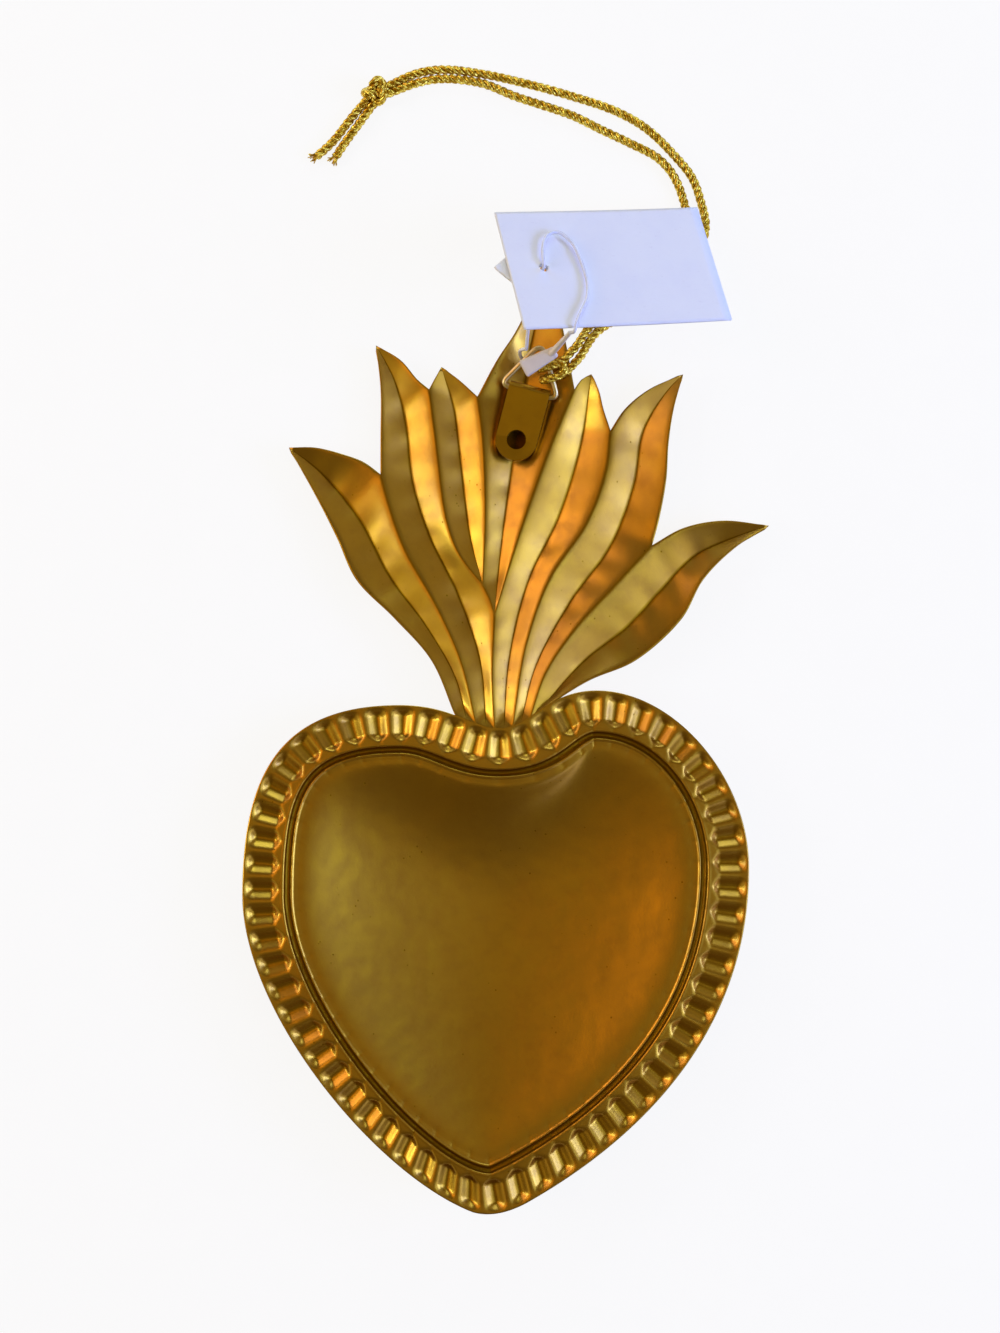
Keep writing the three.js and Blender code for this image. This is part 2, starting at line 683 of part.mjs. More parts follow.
// Small eye of filament from the lock, round the ring's western leg and back
const eyeRoute = [
  [-1.1, 5.9, 4], [-1.3, 5.4, 2.7], [-1.4, 5.1, 1.2], [-1.8, 5.1, -0.3], [-2.7, 5.6, -1.5],
  [-3.9, 6.4, -0.6], [-4.3, 6.9, 1.0], [-3.4, 7.6, 2.8], [-1.9, 8.3, 4.0], [-0.25, 8.8, 4.1],
].map(space);

// Assembly of everything on the sheet
const ring = new THREE.Group();
ring.rotation.x = ringPitch;
ring.add(
  named('d_ring', tubeAlong(ringPath(), wireRadius, 8, 44), finishes.wire),
  named('cord_hitch', smoothTube(hitchRoute, cordRadius, cordSides, 44), finishes.cord),
  named('tag_lock', lockGeometry(), finishes.nylon),
  named('tag_filament_eye', smoothTube(eyeRoute, filamentRadius, 6, 18), finishes.nylon));

const hanger = new THREE.Group();
hanger.position.set(barPlan.x, barPlan.y, strapUnderside + foldOutside);
hanger.rotation.z = strapTurn;
hanger.add(
  named('hanger_strap', strapGeometry(), finishes.strap),
  named('solder_bead_west', solderGeometry(-1), finishes.solder),
  named('solder_bead_east', solderGeometry(1), finishes.solder),
  ring);

const ornament = new THREE.Group();
const body = new THREE.Group();
body.add(plate, enamel, hanger);
ornament.add(body);

// Tilt at which the enamelled dome and the flames both touch the surface that the ornament lies on
function lowestAt(tilt, points, drop) {
  const heights = points.map(({ y, z }) => (z - drop) * Math.cos(tilt) - y * Math.sin(tilt));
  return Math.min(...heights);
}

function restingTilt() {
  const dome = enamelSkin.points;
  const flames = plateSkin.points.slice(heartPoints);
  let level = 0;
  let steep = Math.PI / 8;
  for (let i = 0; i < 40; i += 1) {
    const tilt = (level + steep) / 2;
    if (lowestAt(tilt, dome, enamelThickness) < lowestAt(tilt, flames, sheetThickness)) {
      level = tilt;
    } else {
      steep = tilt;
    }
  }
  return (level + steep) / 2;
}

body.rotation.x = -restingTilt();
ornament.updateMatrixWorld(true);
const extent = new THREE.Box3().setFromObject(plate, true);
extent.union(new THREE.Box3().setFromObject(enamel, true));
const middle = extent.getCenter(new THREE.Vector3());
body.position.set(-middle.x, -middle.y, -extent.min.z);
ornament.updateMatrixWorld(true);

// Free cord: two strands from the hitch to the knot, lying on the surface, then two tails
const hitchEnd = (end, inside) => {
  const place = ring.localToWorld(end.clone());
  const onward = place.clone().sub(ring.localToWorld(inside.clone())).normalize();
  return [fitGap, 2 * cordRadius].map((distance) => place.clone().addScaledVector(onward, distance));
};
const barPlace = hanger.getWorldPosition(new THREE.Vector3());
const onTable = ([x, y]) => new THREE.Vector3(
  barPlace.x + (x * loopReach) / 100, barPlace.y + (y * loopReach) / 100, cordRadius);
const lying = (points) => points.map(onTable);
const falling = (lead, points) => points.map((point, i) => {
  const left = 1 - (i + 1) / (points.length + 1);
  return onTable(point).add(new THREE.Vector3(0, 0, (lead[1].z - cordRadius) * left ** 2));
});
const knotPlace = onTable(knotCentre).setZ(knotRadius);
const knotSide = (degrees) => {
  const angle = THREE.MathUtils.degToRad(degrees);
  const standoff = knotLength / 2 + fitGap;
  const aside = new THREE.Vector3(Math.cos(angle), Math.sin(angle), 0);
  return onTable(knotCentre).addScaledVector(aside, standoff);
};
const outerLead = hitchEnd(hitchRoute.at(-1), hitchRoute.at(-2));
const innerLead = hitchEnd(hitchRoute.at(0), hitchRoute.at(1));
const outerStrand = [
  ...outerLead, ...falling(outerLead, [[20.4, 18.3], [27.4, 23.4], [35.5, 29.3]]),
  ...lying([[45.1, 36], [51.8, 43.2], [54.4, 51.7], [52.8, 59.8], [50.2, 66.8], [44.7, 73.7],
    [36, 82], [26.8, 87.2], [13.4, 91.8], [0, 95.5], [-14.3, 98.7], [-26.6, 100], [-34.6, 98.8]]),
  knotSide(37),
];
const innerStrand = [
  ...innerLead, ...falling(innerLead, [[18.5, 20.8], [25.5, 26], [33.7, 31.8]]),
  ...lying([[40.8, 38.3], [46.6, 45], [48.9, 52.3], [47.7, 59.4], [44.5, 67.4], [39.7, 72.8],
    [31.3, 77.3], [22.6, 81.4], [13.4, 85.9], [4.7, 88.9], [-4.2, 91.8], [-14.3, 95.1], [-26.6, 96.4],
    [-33.8, 95.3]]),
  knotSide(-12),
];
const longTail = [knotSide(208), ...lying([[-54.9, 84.7], [-59.7, 78.5], [-63.3, 75], [-67, 72.2]])];
const shortTail = [knotSide(258), ...lying([[-51.4, 82.7], [-55.3, 76.7], [-58.2, 71.3]])];

const knotGeometry = new THREE.SphereGeometry(knotRadius, 12, 8);
knotGeometry.scale(knotLength / (2 * knotRadius), 1, 1);
const knot = named('cord_knot', knotGeometry, finishes.cord);
knot.position.copy(knotPlace);
knot.rotation.z = THREE.MathUtils.degToRad(35);

ornament.add(
  named('cord_strand_outer', smoothTube(outerStrand, cordRadius, cordSides, 36), finishes.cord),
  named('cord_strand_inner', smoothTube(innerStrand, cordRadius, cordSides, 34), finishes.cord),
  knot,
  named('cord_tail_long', smoothTube(longTail, cordRadius, cordSides, 5), finishes.cord),
  named('cord_tail_short', smoothTube(shortTail, cordRadius, cordSides, 4), finishes.cord));

// Blank card and a small second leaf behind it, both threaded on the nylon loop
function punched(outline, thickness) {
  const hole = new THREE.Path();
  hole.absarc(0, 0, cardHole / 2, 0, 2 * Math.PI, true);
  outline.holes.push(hole);
  return new THREE.ExtrudeGeometry(outline, { depth: thickness, bevelEnabled: false, curveSegments: 6 });
}

function rectangle(left, bottom, right, top) {
  return new THREE.Shape([[left, bottom], [right, bottom], [right, top], [left, top]].map(flat));
}

const tag = new THREE.Group();
tag.position.copy(barPlace).add(cardHolePlace);
tag.rotation.copy(cardTurn);
const card = punched(
  rectangle(-cardHoleFromLeft, cardHoleFromTop - cardHeight, cardWidth - cardHoleFromLeft, cardHoleFromTop),
  cardThickness);
const leaf = punched(rectangle(-leafSide / 2, -leafSide / 2, leafSide / 2, leafSide / 2), cardThickness);
leaf.rotateZ(Math.PI / 4);
leaf.translate(0, 0, -cardThickness - fitGap);
tag.add(named('tag_card', card, finishes.card), named('tag_leaf', leaf, finishes.card));
ornament.add(tag);
ornament.updateMatrixWorld(true);

// Nylon loop: from the lock's neck over the card's front, through both holes and back behind them
const neckTip = ring.localToWorld(neckEnd.clone().add(neckEnd.clone().sub(lockHigh).setLength(fitGap)));
const neckSide = ring.localToWorld(lockHigh.clone().lerp(neckEnd, 0.5))
  .add(new THREE.Vector3(-1.15, 1, -0.5));
const turnBelow = cardHoleFromTop - cardHeight - 2 * filamentRadius - fitGap;
const onCard = ([x, y, z]) => tag.localToWorld(new THREE.Vector3(x, y, z));
const loopRoute = [
  neckTip,
  ...[[4.8, turnBelow, 0.5], [5.2, -14, 1.7], [6.2, -11.6, 1.9], [7.7, -8.1, 1.8], [8.1, -4, 2],
    [7.8, 0.5, 2.4], [6.8, 5.3, 2.6], [4.5, 7.7, 2.6], [2, 6.9, 2.6], [0.4, 3.5, 2.4], [0, 0.6, 1.5],
    [0, 0, 0.2], [0, -0.2, -1.6], [0.6, -2.4, -3.4], [1.8, -7, -5.2], [2.4, -9.5, -6.1]].map(onCard),
  neckSide,
];
ornament.add(named('tag_filament', smoothTube(loopRoute, filamentRadius, filamentSides, 44), finishes.nylon));

export default ornament;
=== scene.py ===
"""Looks of a pressed brass heart ornament that lies face down, seen from straight above."""
import math
import random

import bpy
import numpy as np
from mathutils import Euler, Matrix, Vector


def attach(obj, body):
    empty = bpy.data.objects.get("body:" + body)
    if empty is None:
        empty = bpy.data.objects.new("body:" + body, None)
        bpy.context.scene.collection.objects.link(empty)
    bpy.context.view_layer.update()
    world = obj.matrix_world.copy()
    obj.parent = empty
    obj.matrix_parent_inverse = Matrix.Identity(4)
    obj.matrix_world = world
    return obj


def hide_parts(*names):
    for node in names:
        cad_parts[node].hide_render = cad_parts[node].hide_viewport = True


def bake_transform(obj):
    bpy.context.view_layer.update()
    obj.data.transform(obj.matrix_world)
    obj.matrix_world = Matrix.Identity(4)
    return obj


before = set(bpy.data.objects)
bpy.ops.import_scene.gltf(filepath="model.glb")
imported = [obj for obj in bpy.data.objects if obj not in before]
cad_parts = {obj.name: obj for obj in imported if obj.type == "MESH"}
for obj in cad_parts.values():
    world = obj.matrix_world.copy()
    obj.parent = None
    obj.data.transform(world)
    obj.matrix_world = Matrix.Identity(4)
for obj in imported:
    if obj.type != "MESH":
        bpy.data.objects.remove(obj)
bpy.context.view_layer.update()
random.seed(7)

# Shapes are written in millimetres and built in metres
MM = 0.001

# Camera: straight down, with the photo's scale on the sheet's back
CAMERA_PLACE = (-1.4, 13.3, 360)
SEEN_HEIGHT = 273.3
SEEN_DISTANCE = 353

# Where the sheet, the ring's bar and the card's hole lie
PLATE_TILT = math.radians(2.6378)
PLATE_PLACE = (-2.0613, -35.546, 8.6638)
BAR_PLACE = np.array([4.617, 69.951, 4.397])
STRAP_TURN = math.radians(-15)
RING_PITCH = math.radians(17)
CARD_HOLE_PLACE = BAR_PLACE + (2.5, 22.2, 14.4)
CARD_TURN = [math.radians(angle) for angle in (-23, 17.3, 5.7)]

# Heart outline in hundredths of its width and height: anchor, handle, handle of each curve
SHEET_THICKNESS = 0.6
HEART_WIDTH = 103.5
HEART_HEIGHT = 107
HEART_CONTROL = [
    (0, -58.9), (24.6, -47.2), (49.8, -26.2),
    (49.8, 7.5), (49.8, 24.3), (35.3, 41.1),
    (19.8, 41.1), (9.7, 41.1), (6.8, 33.8),
    (0.5, 33.8), (-4.8, 33.8), (-8.7, 38.3),
    (-19.3, 38.3), (-44.4, 38.3), (-50.2, 23.4),
    (-50.2, 2.3), (-50.2, -22), (-18.8, -56.1),
]

# Rim, measured inwards from the trimmed edge
RIM_WIDTH = 11.3
EDGE_LAND = 0.2
TIP_ROUNDING = 0.013
FLUTE_COUNT = 60
FLUTE_DEPTH = 1.25
FLUTE_SOFTNESS = 0.12
FLUTE_FULL_FROM = 2.2
FLUTE_FULL_TO = 5.8
FLUTE_END = 7.6
POINTS_PER_FLUTE = 16

# Dished field and the enamel on its front
FIELD_STEP = 0.66
GROOVE_MIDDLE = 9.15
GROOVE_PROFILE = [
    (FLUTE_END, 0), (8.3, -0.02), (8.7, -0.72), (GROOVE_MIDDLE, -0.95), (9.6, -0.72), (9.9, -0.32),
    (10.1, -0.32), (10.35, -0.52), (10.7, -0.58), (RIM_WIDTH, -FIELD_STEP),
]
DISH_DEPTH = 6.24
DISH_SHOULDER = 0.05
DISH_ROUNDNESS = 2.1
DISH_SMOOTHING = 0.5
DISH_RINGS = 18
ENAMEL_THICKNESS = 0.5
ENAMEL_MARGIN = 0.04
ENAMEL_CLEARANCE = 0.65

# Flames, in hundredths of the crown's width and height
CROWN_WIDTH = 99
CROWN_HEIGHT = 94.2
CROWN_FOOT = (1, 37.4)
CREASE_DEPTH = 2.8
FACE_SLOPE = 0.53
CREASE_FADE = 3
FLAME_STEP = 1.1
FACE_SHARES = (0.06, 0.13, 0.22, 0.34, 0.52, 0.74, 0.92)
CREST_ROUNDING = 0.12
CREASE_WAVER = 0.03
WAVER_LENGTH = 6.5
FLAME_FOOT_WEST = (-8.1, 36.7)
FLAME_FOOT_EAST = (10.3, 39.1)
FOOT_COUNT = 10
TIPS = [(-44.4, 57.5), (-26.3, 80.1), (-12.6, 75.3), (9.1, 100), (18.7, 73.7), (37.9, 73.7), (55.6, 40.3)]
NOTCHES = [(-25.3, 51.6), (-15.2, 70.4), (-5.1, 68.8), (15.2, 70.4), (22.7, 61.3), (31.3, 36)]
FORK_THIRD = (-4, 27.4)
FORK_CENTRE = (-1.5, 21)

# Hanger strap and ring
STRAP_WIDTH = 8.6
STRAP_THICKNESS = 0.5
STRAP_LENGTH = 14.5
STRAP_HOLE = 4
STRAP_SOFTENING = 0.18
STRAP_BAR = (5.7, 69.6)
LEAF_GAP = 0.3
FOLD_TAPER = 10
WIRE_RADIUS = 0.55
BAR_CLEARANCE = 0.36
RING_WIDTH = 12.4
RING_HEIGHT = 10.5
RING_CORNER = 2.2
RING_CROWN = 3
RING_SPLIT = 0.5

# Gilt cord
CORD_RADIUS = 0.92
CORD_PLIES = 3
CORD_PITCH = 4.2
CORD_STEP = 0.4
THREADS_PER_PLY = 5
FIT_GAP = 0.3
HITCH_ALONG_LEG = 6
HITCH_LEAN = 0.13
WRAP_REACH = 1.83
WRAP_APART = 1.22
HITCH_HALF = [
    (5.0, WRAP_APART, -2.05), (3.3, WRAP_APART, -1.8), (1.5, WRAP_APART, -WRAP_REACH),
    (0, WRAP_APART, -WRAP_REACH - 0.1), (-1.4, WRAP_APART, -1.3), (-WRAP_REACH - 0.1, WRAP_APART, 0),
    (-1.4, WRAP_APART, 1.3), (0, WRAP_APART, WRAP_REACH + 0.1), (1.6, WRAP_APART, WRAP_REACH + 0.2),
    (2.7, 0.8, WRAP_REACH + 0.25), (3.1, 0, WRAP_REACH + 0.3),
]
LOOP_REACH = 67.8
KNOT_CENTRE = (-46.9, 92.6)
KNOT_LENGTH = 5.6
KNOT_TURN = math.radians(35)

# Nylon loop and card; the lock and the eye are placed in the frame of the ring
FILAMENT_RADIUS = 0.35
LOCK_SIZE = (7.6, 3, 1.5)
LOCK_ROUNDING = 0.45
LOCK_TAPER = 0.5
NECK_RADIUS = 0.75
LOCK_LOW = np.array([-2.2, 4.6, 4.1])
LOCK_HIGH = np.array([3.3, 9.7, 4.1])
NECK_END = np.array([5.4, 14.6, 13.6])
EYE_ROUTE = [
    (0.2, 6.2, 4.0), (-1.3, 5.4, 2.7), (-1.4, 5.1, 1.2), (-1.8, 5.1, -0.3), (-2.7, 5.6, -1.5),
    (-3.6, 6.6, -0.8), (-3.9, 7.6, 0.6), (-3.3, 8.3, 2.2), (-2.6, 8.6, 3.6),
]
LOOP_GIVE = 5.5
CARD_WIDTH = 44
CARD_HEIGHT = 28
CARD_THICKNESS = 0.4
CARD_HOLE = 1.8
CARD_HOLE_FROM_LEFT = 7.2
CARD_HOLE_FROM_TOP = 13.7
LEAF_SIDE = 13.9
LEAF_TURN = math.radians(7)
CARD_PUCKER = 0.16
CARD_CURL = 0.5
CARD_CURL_FROM = 8
CARD_CURL_LENGTH = 29

# Table with a low wall far away
TABLE_REACH = 8000
BACKDROP_HEIGHT = 1200

plate_frame = Matrix.Translation(PLATE_PLACE) @ Matrix.Rotation(-PLATE_TILT, 4, "X")
hanger_frame = (Matrix.Translation(BAR_PLACE) @ Matrix.Rotation(-PLATE_TILT, 4, "X")
                @ Matrix.Rotation(STRAP_TURN, 4, "Z"))
ring_frame = hanger_frame @ Matrix.Rotation(RING_PITCH, 4, "X")
card_frame = Matrix.Translation(CARD_HOLE_PLACE) @ Euler(CARD_TURN, "XYZ").to_matrix().to_4x4()


def moved(place, points):
    """Points of one frame in the shared frame, still in millimetres."""
    matrix = np.array(place)
    return np.asarray(points, float) @ matrix[:3, :3].T + matrix[:3, 3]


def metres(points):
    return [tuple(float(value) * MM for value in point) for point in points]


def travelled(points):
    """Length from the start of a line to each of its points."""
    steps = np.linalg.norm(np.diff(points, axis=0), axis=1)
    return np.concatenate([[0], np.cumsum(steps)])


def resampled(points, count):
    points = np.asarray(points, float)
    along = travelled(points)
    wanted = np.linspace(0, along[-1], count)
    return np.column_stack([np.interp(wanted, along, points[:, k]) for k in range(points.shape[1])])


def smooth_line(points, step):
    """Evenly spaced points on a centripetal curve through the given ones."""
    points = np.asarray(points, float)
    ends = np.vstack([2 * points[0] - points[1], points, 2 * points[-1] - points[-2]])
    line = []
    for before, start, end, after in zip(ends, ends[1:], ends[2:], ends[3:]):
        gaps = [np.linalg.norm(b - a) ** 0.5 for a, b in ((before, start), (start, end), (end, after))]
        leaving = ((start - before) / gaps[0] - (end - before) / (gaps[0] + gaps[1])
                   + (end - start) / gaps[1]) * gaps[1]
        arriving = ((end - start) / gaps[1] - (after - start) / (gaps[1] + gaps[2])
                    + (after - end) / gaps[2]) * gaps[1]
        t = np.linspace(0, 1, 24, endpoint=False)[:, None]
        line.append((2 * t**3 - 3 * t**2 + 1) * start + (t**3 - 2 * t**2 + t) * leaving
                    + (3 * t**2 - 2 * t**3) * end + (t**3 - t**2) * arriving)
    line = np.vstack(line + [points[-1:]])
    return resampled(line, max(3, round(travelled(line)[-1] / step) + 1))


def smooth_step(value):
    value = np.clip(value, 0, 1)
    return value * value * (3 - 2 * value)


def frames_along(line):
    """Two directions across a line at each of its points, without twist."""
    ahead = np.gradient(line, axis=0)
    ahead /= np.linalg.norm(ahead, axis=1, keepdims=True)
    across = np.zeros_like(line)
    side = np.cross(ahead[0], (0, 0, 1) if abs(ahead[0, 2]) < 0.9 else (0, 1, 0))
    for k, direction in enumerate(ahead):
        side = side - direction * side.dot(direction)
        side = side / np.linalg.norm(side)
        across[k] = side
    return across, np.cross(ahead, across)


class Shape:
    """Points in millimetres, the faces between them and the values painted on the points."""

    def __init__(self, *paints):
        self.points = []
        self.faces = []
        self.paint = {name: [] for name in paints}

    def row(self, points, **paint):
        points = np.atleast_2d(points)
        first = len(self.points)
        self.points.extend(tuple(point) for point in points)
        for name, values in self.paint.items():
            values.extend(np.broadcast_to(paint.get(name, 0.0), len(points)))
        return list(range(first, first + len(points)))

    def at(self, row):
        return np.array([self.points[index] for index in row])

    def face(self, *corners):
        kept = [corner for k, corner in enumerate(corners) if corner != corners[k - 1]]
        if len(set(kept)) > 2:
            self.faces.append(kept)

    def strip(self, right, left):
        """Fills between two rows of equal length, of which the second lies to the left of the first."""
        for k in range(len(right) - 1):
            self.face(right[k], right[k + 1], left[k + 1], left[k])

    def ring_strip(self, outer, inner):
        self.strip(outer + outer[:1], inner + inner[:1])

    def zip_strip(self, right, left):
        """Fills between two rows of different lengths."""
        right_along = travelled(self.at(right))
        left_along = travelled(self.at(left))
        right_along /= right_along[-1]
        left_along /= left_along[-1]
        i = 0
        j = 0
        while i < len(right) - 1 or j < len(left) - 1:
            left_done = j == len(left) - 1
            right_done = i == len(right) - 1
            if left_done or (not right_done and right_along[i + 1] <= left_along[j + 1]):
                self.face(right[i], right[i + 1], left[j])
                i += 1
            else:
                self.face(right[i], left[j + 1], left[j])
                j += 1

    def tube(self, line, radius, sides, lobes=0, lobe_height=0.0, lobe_turns=0.0, **paint):
        """A closed tube along a line; its section can have lobes that turn as they go."""
        line = np.asarray(line, float)
        across, up = frames_along(line)
        along = travelled(line)
        radius = np.broadcast_to(radius, len(line))
        turn = np.linspace(0, 2 * math.pi, sides, endpoint=False)
        rows = []
        for k, middle in enumerate(line):
            reach = radius[k] * (1 + lobe_height * np.cos(lobes * (turn - lobe_turns * along[k])))
            ring = middle + np.outer(reach * np.cos(turn), across[k]) + np.outer(reach * np.sin(turn), up[k])
            rows.append(self.row(ring, **paint))
        for lower, upper in zip(rows, rows[1:]):
            self.ring_strip(upper, lower)
        self.faces.append(rows[0])
        self.faces.append(rows[-1][::-1])

    def build(self, name, place, material, slot, sharp=None):
        mesh = bpy.data.meshes.new(name)
        mesh.from_pydata(metres(moved(place, self.points)), [], self.faces)
        for paint, values in self.paint.items():
            attribute = mesh.attributes.new(paint, "FLOAT", "POINT")
            attribute.data.foreach_set("value", np.array(values, np.float32))
        mesh.shade_smooth()
        if sharp is not None:
            mesh.set_sharp_from_angle(angle=math.radians(sharp))
        mesh.materials.append(material)
        piece = bpy.data.objects.new(name, mesh)
        bpy.context.collection.objects.link(piece)
        return piece


# Camera
lens = bpy.data.cameras.new("camera")
lens.sensor_fit = "VERTICAL"
lens.sensor_height = 36
lens.lens = lens.sensor_height * SEEN_DISTANCE / SEEN_HEIGHT
lens.clip_start = 0.01
camera = bpy.data.objects.new("camera", lens)
camera.location = Vector(CAMERA_PLACE) * MM
bpy.context.collection.objects.link(camera)
bpy.context.scene.camera = camera


# Materials
def colour(red, green, blue):
    """A display colour from 0 to 255 as the linear one that the shaders take."""
    shares = [value / 255 for value in (red, green, blue)]
    linear = [share / 12.92 if share <= 0.04045 else ((share + 0.055) / 1.055) ** 2.4 for share in shares]
    return (*linear, 1)


class Nodes:
    """Adds and links the nodes of one tree."""

    def __init__(self, tree):
        self.tree = tree

    def add(self, kind, **settings):
        node = self.tree.nodes.new(kind)
        for key, value in settings.items():
            setattr(node, key, value)
        return node

    def put(self, socket, value):
        if isinstance(value, bpy.types.NodeSocket):
            self.tree.links.new(value, socket)
        else:
            socket.default_value = value

    def noise(self, coordinates, scale, detail=3.0, roughness=0.55):
        node = self.add("ShaderNodeTexNoise")
        self.put(node.inputs["Vector"], coordinates)
        self.put(node.inputs["Scale"], scale)
        self.put(node.inputs["Detail"], detail)
        self.put(node.inputs["Roughness"], roughness)
        return node.outputs["Fac"]

    def cells(self, coordinates, scale):
        node = self.add("ShaderNodeTexVoronoi")
        self.put(node.inputs["Vector"], coordinates)
        self.put(node.inputs["Scale"], scale)
        return node.outputs["Distance"]

    def stretched(self, coordinates, scale, turn):
        node = self.add("ShaderNodeMapping")
        self.put(node.inputs["Vector"], coordinates)
        self.put(node.inputs["Scale"], scale)
        self.put(node.inputs["Rotation"], (0, 0, turn))
        return node.outputs["Vector"]

    def between(self, value, low, high, to_low=0.0, to_high=1.0):
        node = self.add("ShaderNodeMapRange", interpolation_type="SMOOTHSTEP")
        self.put(node.inputs["Value"], value)
        self.put(node.inputs["From Min"], low)
        self.put(node.inputs["From Max"], high)
        self.put(node.inputs["To Min"], to_low)
        self.put(node.inputs["To Max"], to_high)
        return node.outputs["Result"]

    def sum(self, kind, first, second):
        node = self.add("ShaderNodeMath", operation=kind)
        self.put(node.inputs[0], first)
        self.put(node.inputs[1], second)
        return node.outputs["Value"]

    def painted(self, name):
        return self.add("ShaderNodeAttribute", attribute_name=name).outputs["Fac"]

    def bump(self, height, distance, strength=1.0):
        node = self.add("ShaderNodeBump")
        self.put(node.inputs["Height"], height)
        self.put(node.inputs["Distance"], distance)
        self.put(node.inputs["Strength"], strength)
        return node.outputs["Normal"]


# The sockets of a mix node share names between its kinds, so its colour sockets are found by their place
def mix_colours(nodes, share, first, second):
    node = nodes.add("ShaderNodeMix", data_type="RGBA")
    nodes.put(node.inputs[0], share)
    nodes.put(node.inputs[6], first)
    nodes.put(node.inputs[7], second)
    return node.outputs[2]


def new_group(name, inputs, outputs):
    tree = bpy.data.node_groups.new(name, "ShaderNodeTree")
    for title, kind in inputs:
        tree.interface.new_socket(title, in_out="INPUT", socket_type=kind)
    for title, kind in outputs:
        tree.interface.new_socket(title, in_out="OUTPUT", socket_type=kind)
    nodes = Nodes(tree)
    return tree, nodes, nodes.add("NodeGroupInput").outputs, nodes.add("NodeGroupOutput").inputs


def worn_shaded_metal_group():
    """Clouded metal with a fine grain and a few dark specks; painted shade is mixed in as far as its share
    input says.
    """
    tree, nodes, given, result = new_group(
        "worn_shaded_metal",
        [("Place", "NodeSocketVector"), ("Bright", "NodeSocketColor"), ("Dull", "NodeSocketColor"),
         ("Grime And Shade", "NodeSocketColor"), ("Shade Share", "NodeSocketFloat")],
        [("Color", "NodeSocketColor"), ("Roughness", "NodeSocketFloat"), ("Unmarked", "NodeSocketFloat"),
         ("Height", "NodeSocketFloat")])
    place = given["Place"]
    clouds = nodes.between(nodes.noise(place, 55, 5), 0.36, 0.66)
    patches = nodes.between(nodes.noise(place, 320, 4), 0.42, 0.75)
    tone = nodes.sum("MULTIPLY_ADD", clouds, 0.6)
    nodes.put(tone.node.inputs[2], nodes.sum("MULTIPLY", patches, 0.4))
    surface = mix_colours(nodes, tone, given["Bright"], given["Dull"])
    spots = nodes.between(nodes.cells(place, 600), 0.16, 0.05, 0, 0.55)
    rare = nodes.between(nodes.noise(place, 130, 2), 0.54, 0.64)
    specks = nodes.sum("MULTIPLY", spots, rare)
    # Marks are the real specks and the painted shade together: both take the dark colour, more roughness and
    # less coat.
    marks = nodes.sum("MAXIMUM", specks, given["Shade Share"])
    nodes.put(result["Color"], mix_colours(nodes, marks, surface, given["Grime And Shade"]))
    nodes.put(result["Unmarked"], nodes.sum("SUBTRACT", 1.0, marks))
    rough = nodes.sum("MULTIPLY_ADD", marks, 0.16)
    nodes.put(rough.node.inputs[2], nodes.between(tone, 0, 1, 0.3, 0.4))
    nodes.put(result["Roughness"], rough)
    grain = nodes.noise(place, 2600, 2)
    dents = nodes.noise(place, 170, 1)
    height = nodes.sum("MULTIPLY_ADD", dents, 1.2)
    nodes.put(height.node.inputs[2], nodes.sum("MULTIPLY", grain, 0.12))
    pitted = nodes.sum("MULTIPLY_ADD", specks, -0.2)
    nodes.put(pitted.node.inputs[2], height)
    nodes.put(result["Height"], pitted)
    return tree


worn_shaded_metal = worn_shaded_metal_group()


def new_material(name):
    material = bpy.data.materials.new(name)
    material.use_nodes = True
    nodes = Nodes(material.node_tree)
    shader = material.node_tree.nodes["Principled BSDF"]
    place = nodes.add("ShaderNodeTexCoord").outputs["Object"]
    return material, nodes, shader.inputs, place


# The paints darken the metal towards its dark colour; on the sheet they are painted shade.
def metal(name, bright, dull, darkening, bump, coat=0.0, paints=()):
    material, nodes, shader, place = new_material(name)
    wear_and_shade = nodes.add("ShaderNodeGroup", node_tree=worn_shaded_metal)
    nodes.put(wear_and_shade.inputs["Place"], place)
    wear_and_shade.inputs["Bright"].default_value = bright
    wear_and_shade.inputs["Dull"].default_value = dull
    wear_and_shade.inputs["Grime And Shade"].default_value = darkening
    wear_and_shade.inputs["Shade Share"].default_value = 0
    for paint, share in paints:
        dark = nodes.sum("MULTIPLY", nodes.painted(paint), share)
        earlier = wear_and_shade.inputs["Shade Share"]
        if earlier.is_linked:
            dark = nodes.sum("MAXIMUM", dark, earlier.links[0].from_socket)
        nodes.put(earlier, dark)
    nodes.put(shader["Base Color"], wear_and_shade.outputs["Color"])
    nodes.put(shader["Roughness"], wear_and_shade.outputs["Roughness"])
    nodes.put(shader["Normal"], nodes.bump(wear_and_shade.outputs["Height"], bump))
    shader["Metallic"].default_value = 1
    # The coat is taken off where the specks and the painted shade lie.
    coat_share = nodes.sum("POWER", wear_and_shade.outputs["Unmarked"], 3.0)
    nodes.put(shader["Coat Weight"], nodes.sum("MULTIPLY", coat_share, coat))
    shader["Coat Roughness"].default_value = 0.3
    return material


def enamel_material():
    material, nodes, shader, place = new_material("red_enamel")
    clouds = nodes.between(nodes.noise(place, 70, 4), 0.35, 0.7)
    nodes.put(shader["Base Color"], mix_colours(nodes, clouds, colour(150, 14, 22), colour(112, 6, 14)))
    nodes.put(shader["Roughness"], nodes.between(nodes.noise(place, 500, 2), 0.3, 0.7, 0.08, 0.18))
    nodes.put(shader["Normal"], nodes.bump(nodes.noise(place, 260, 2), 0.00012))
    shader["Coat Weight"].default_value = 0.6
    return material


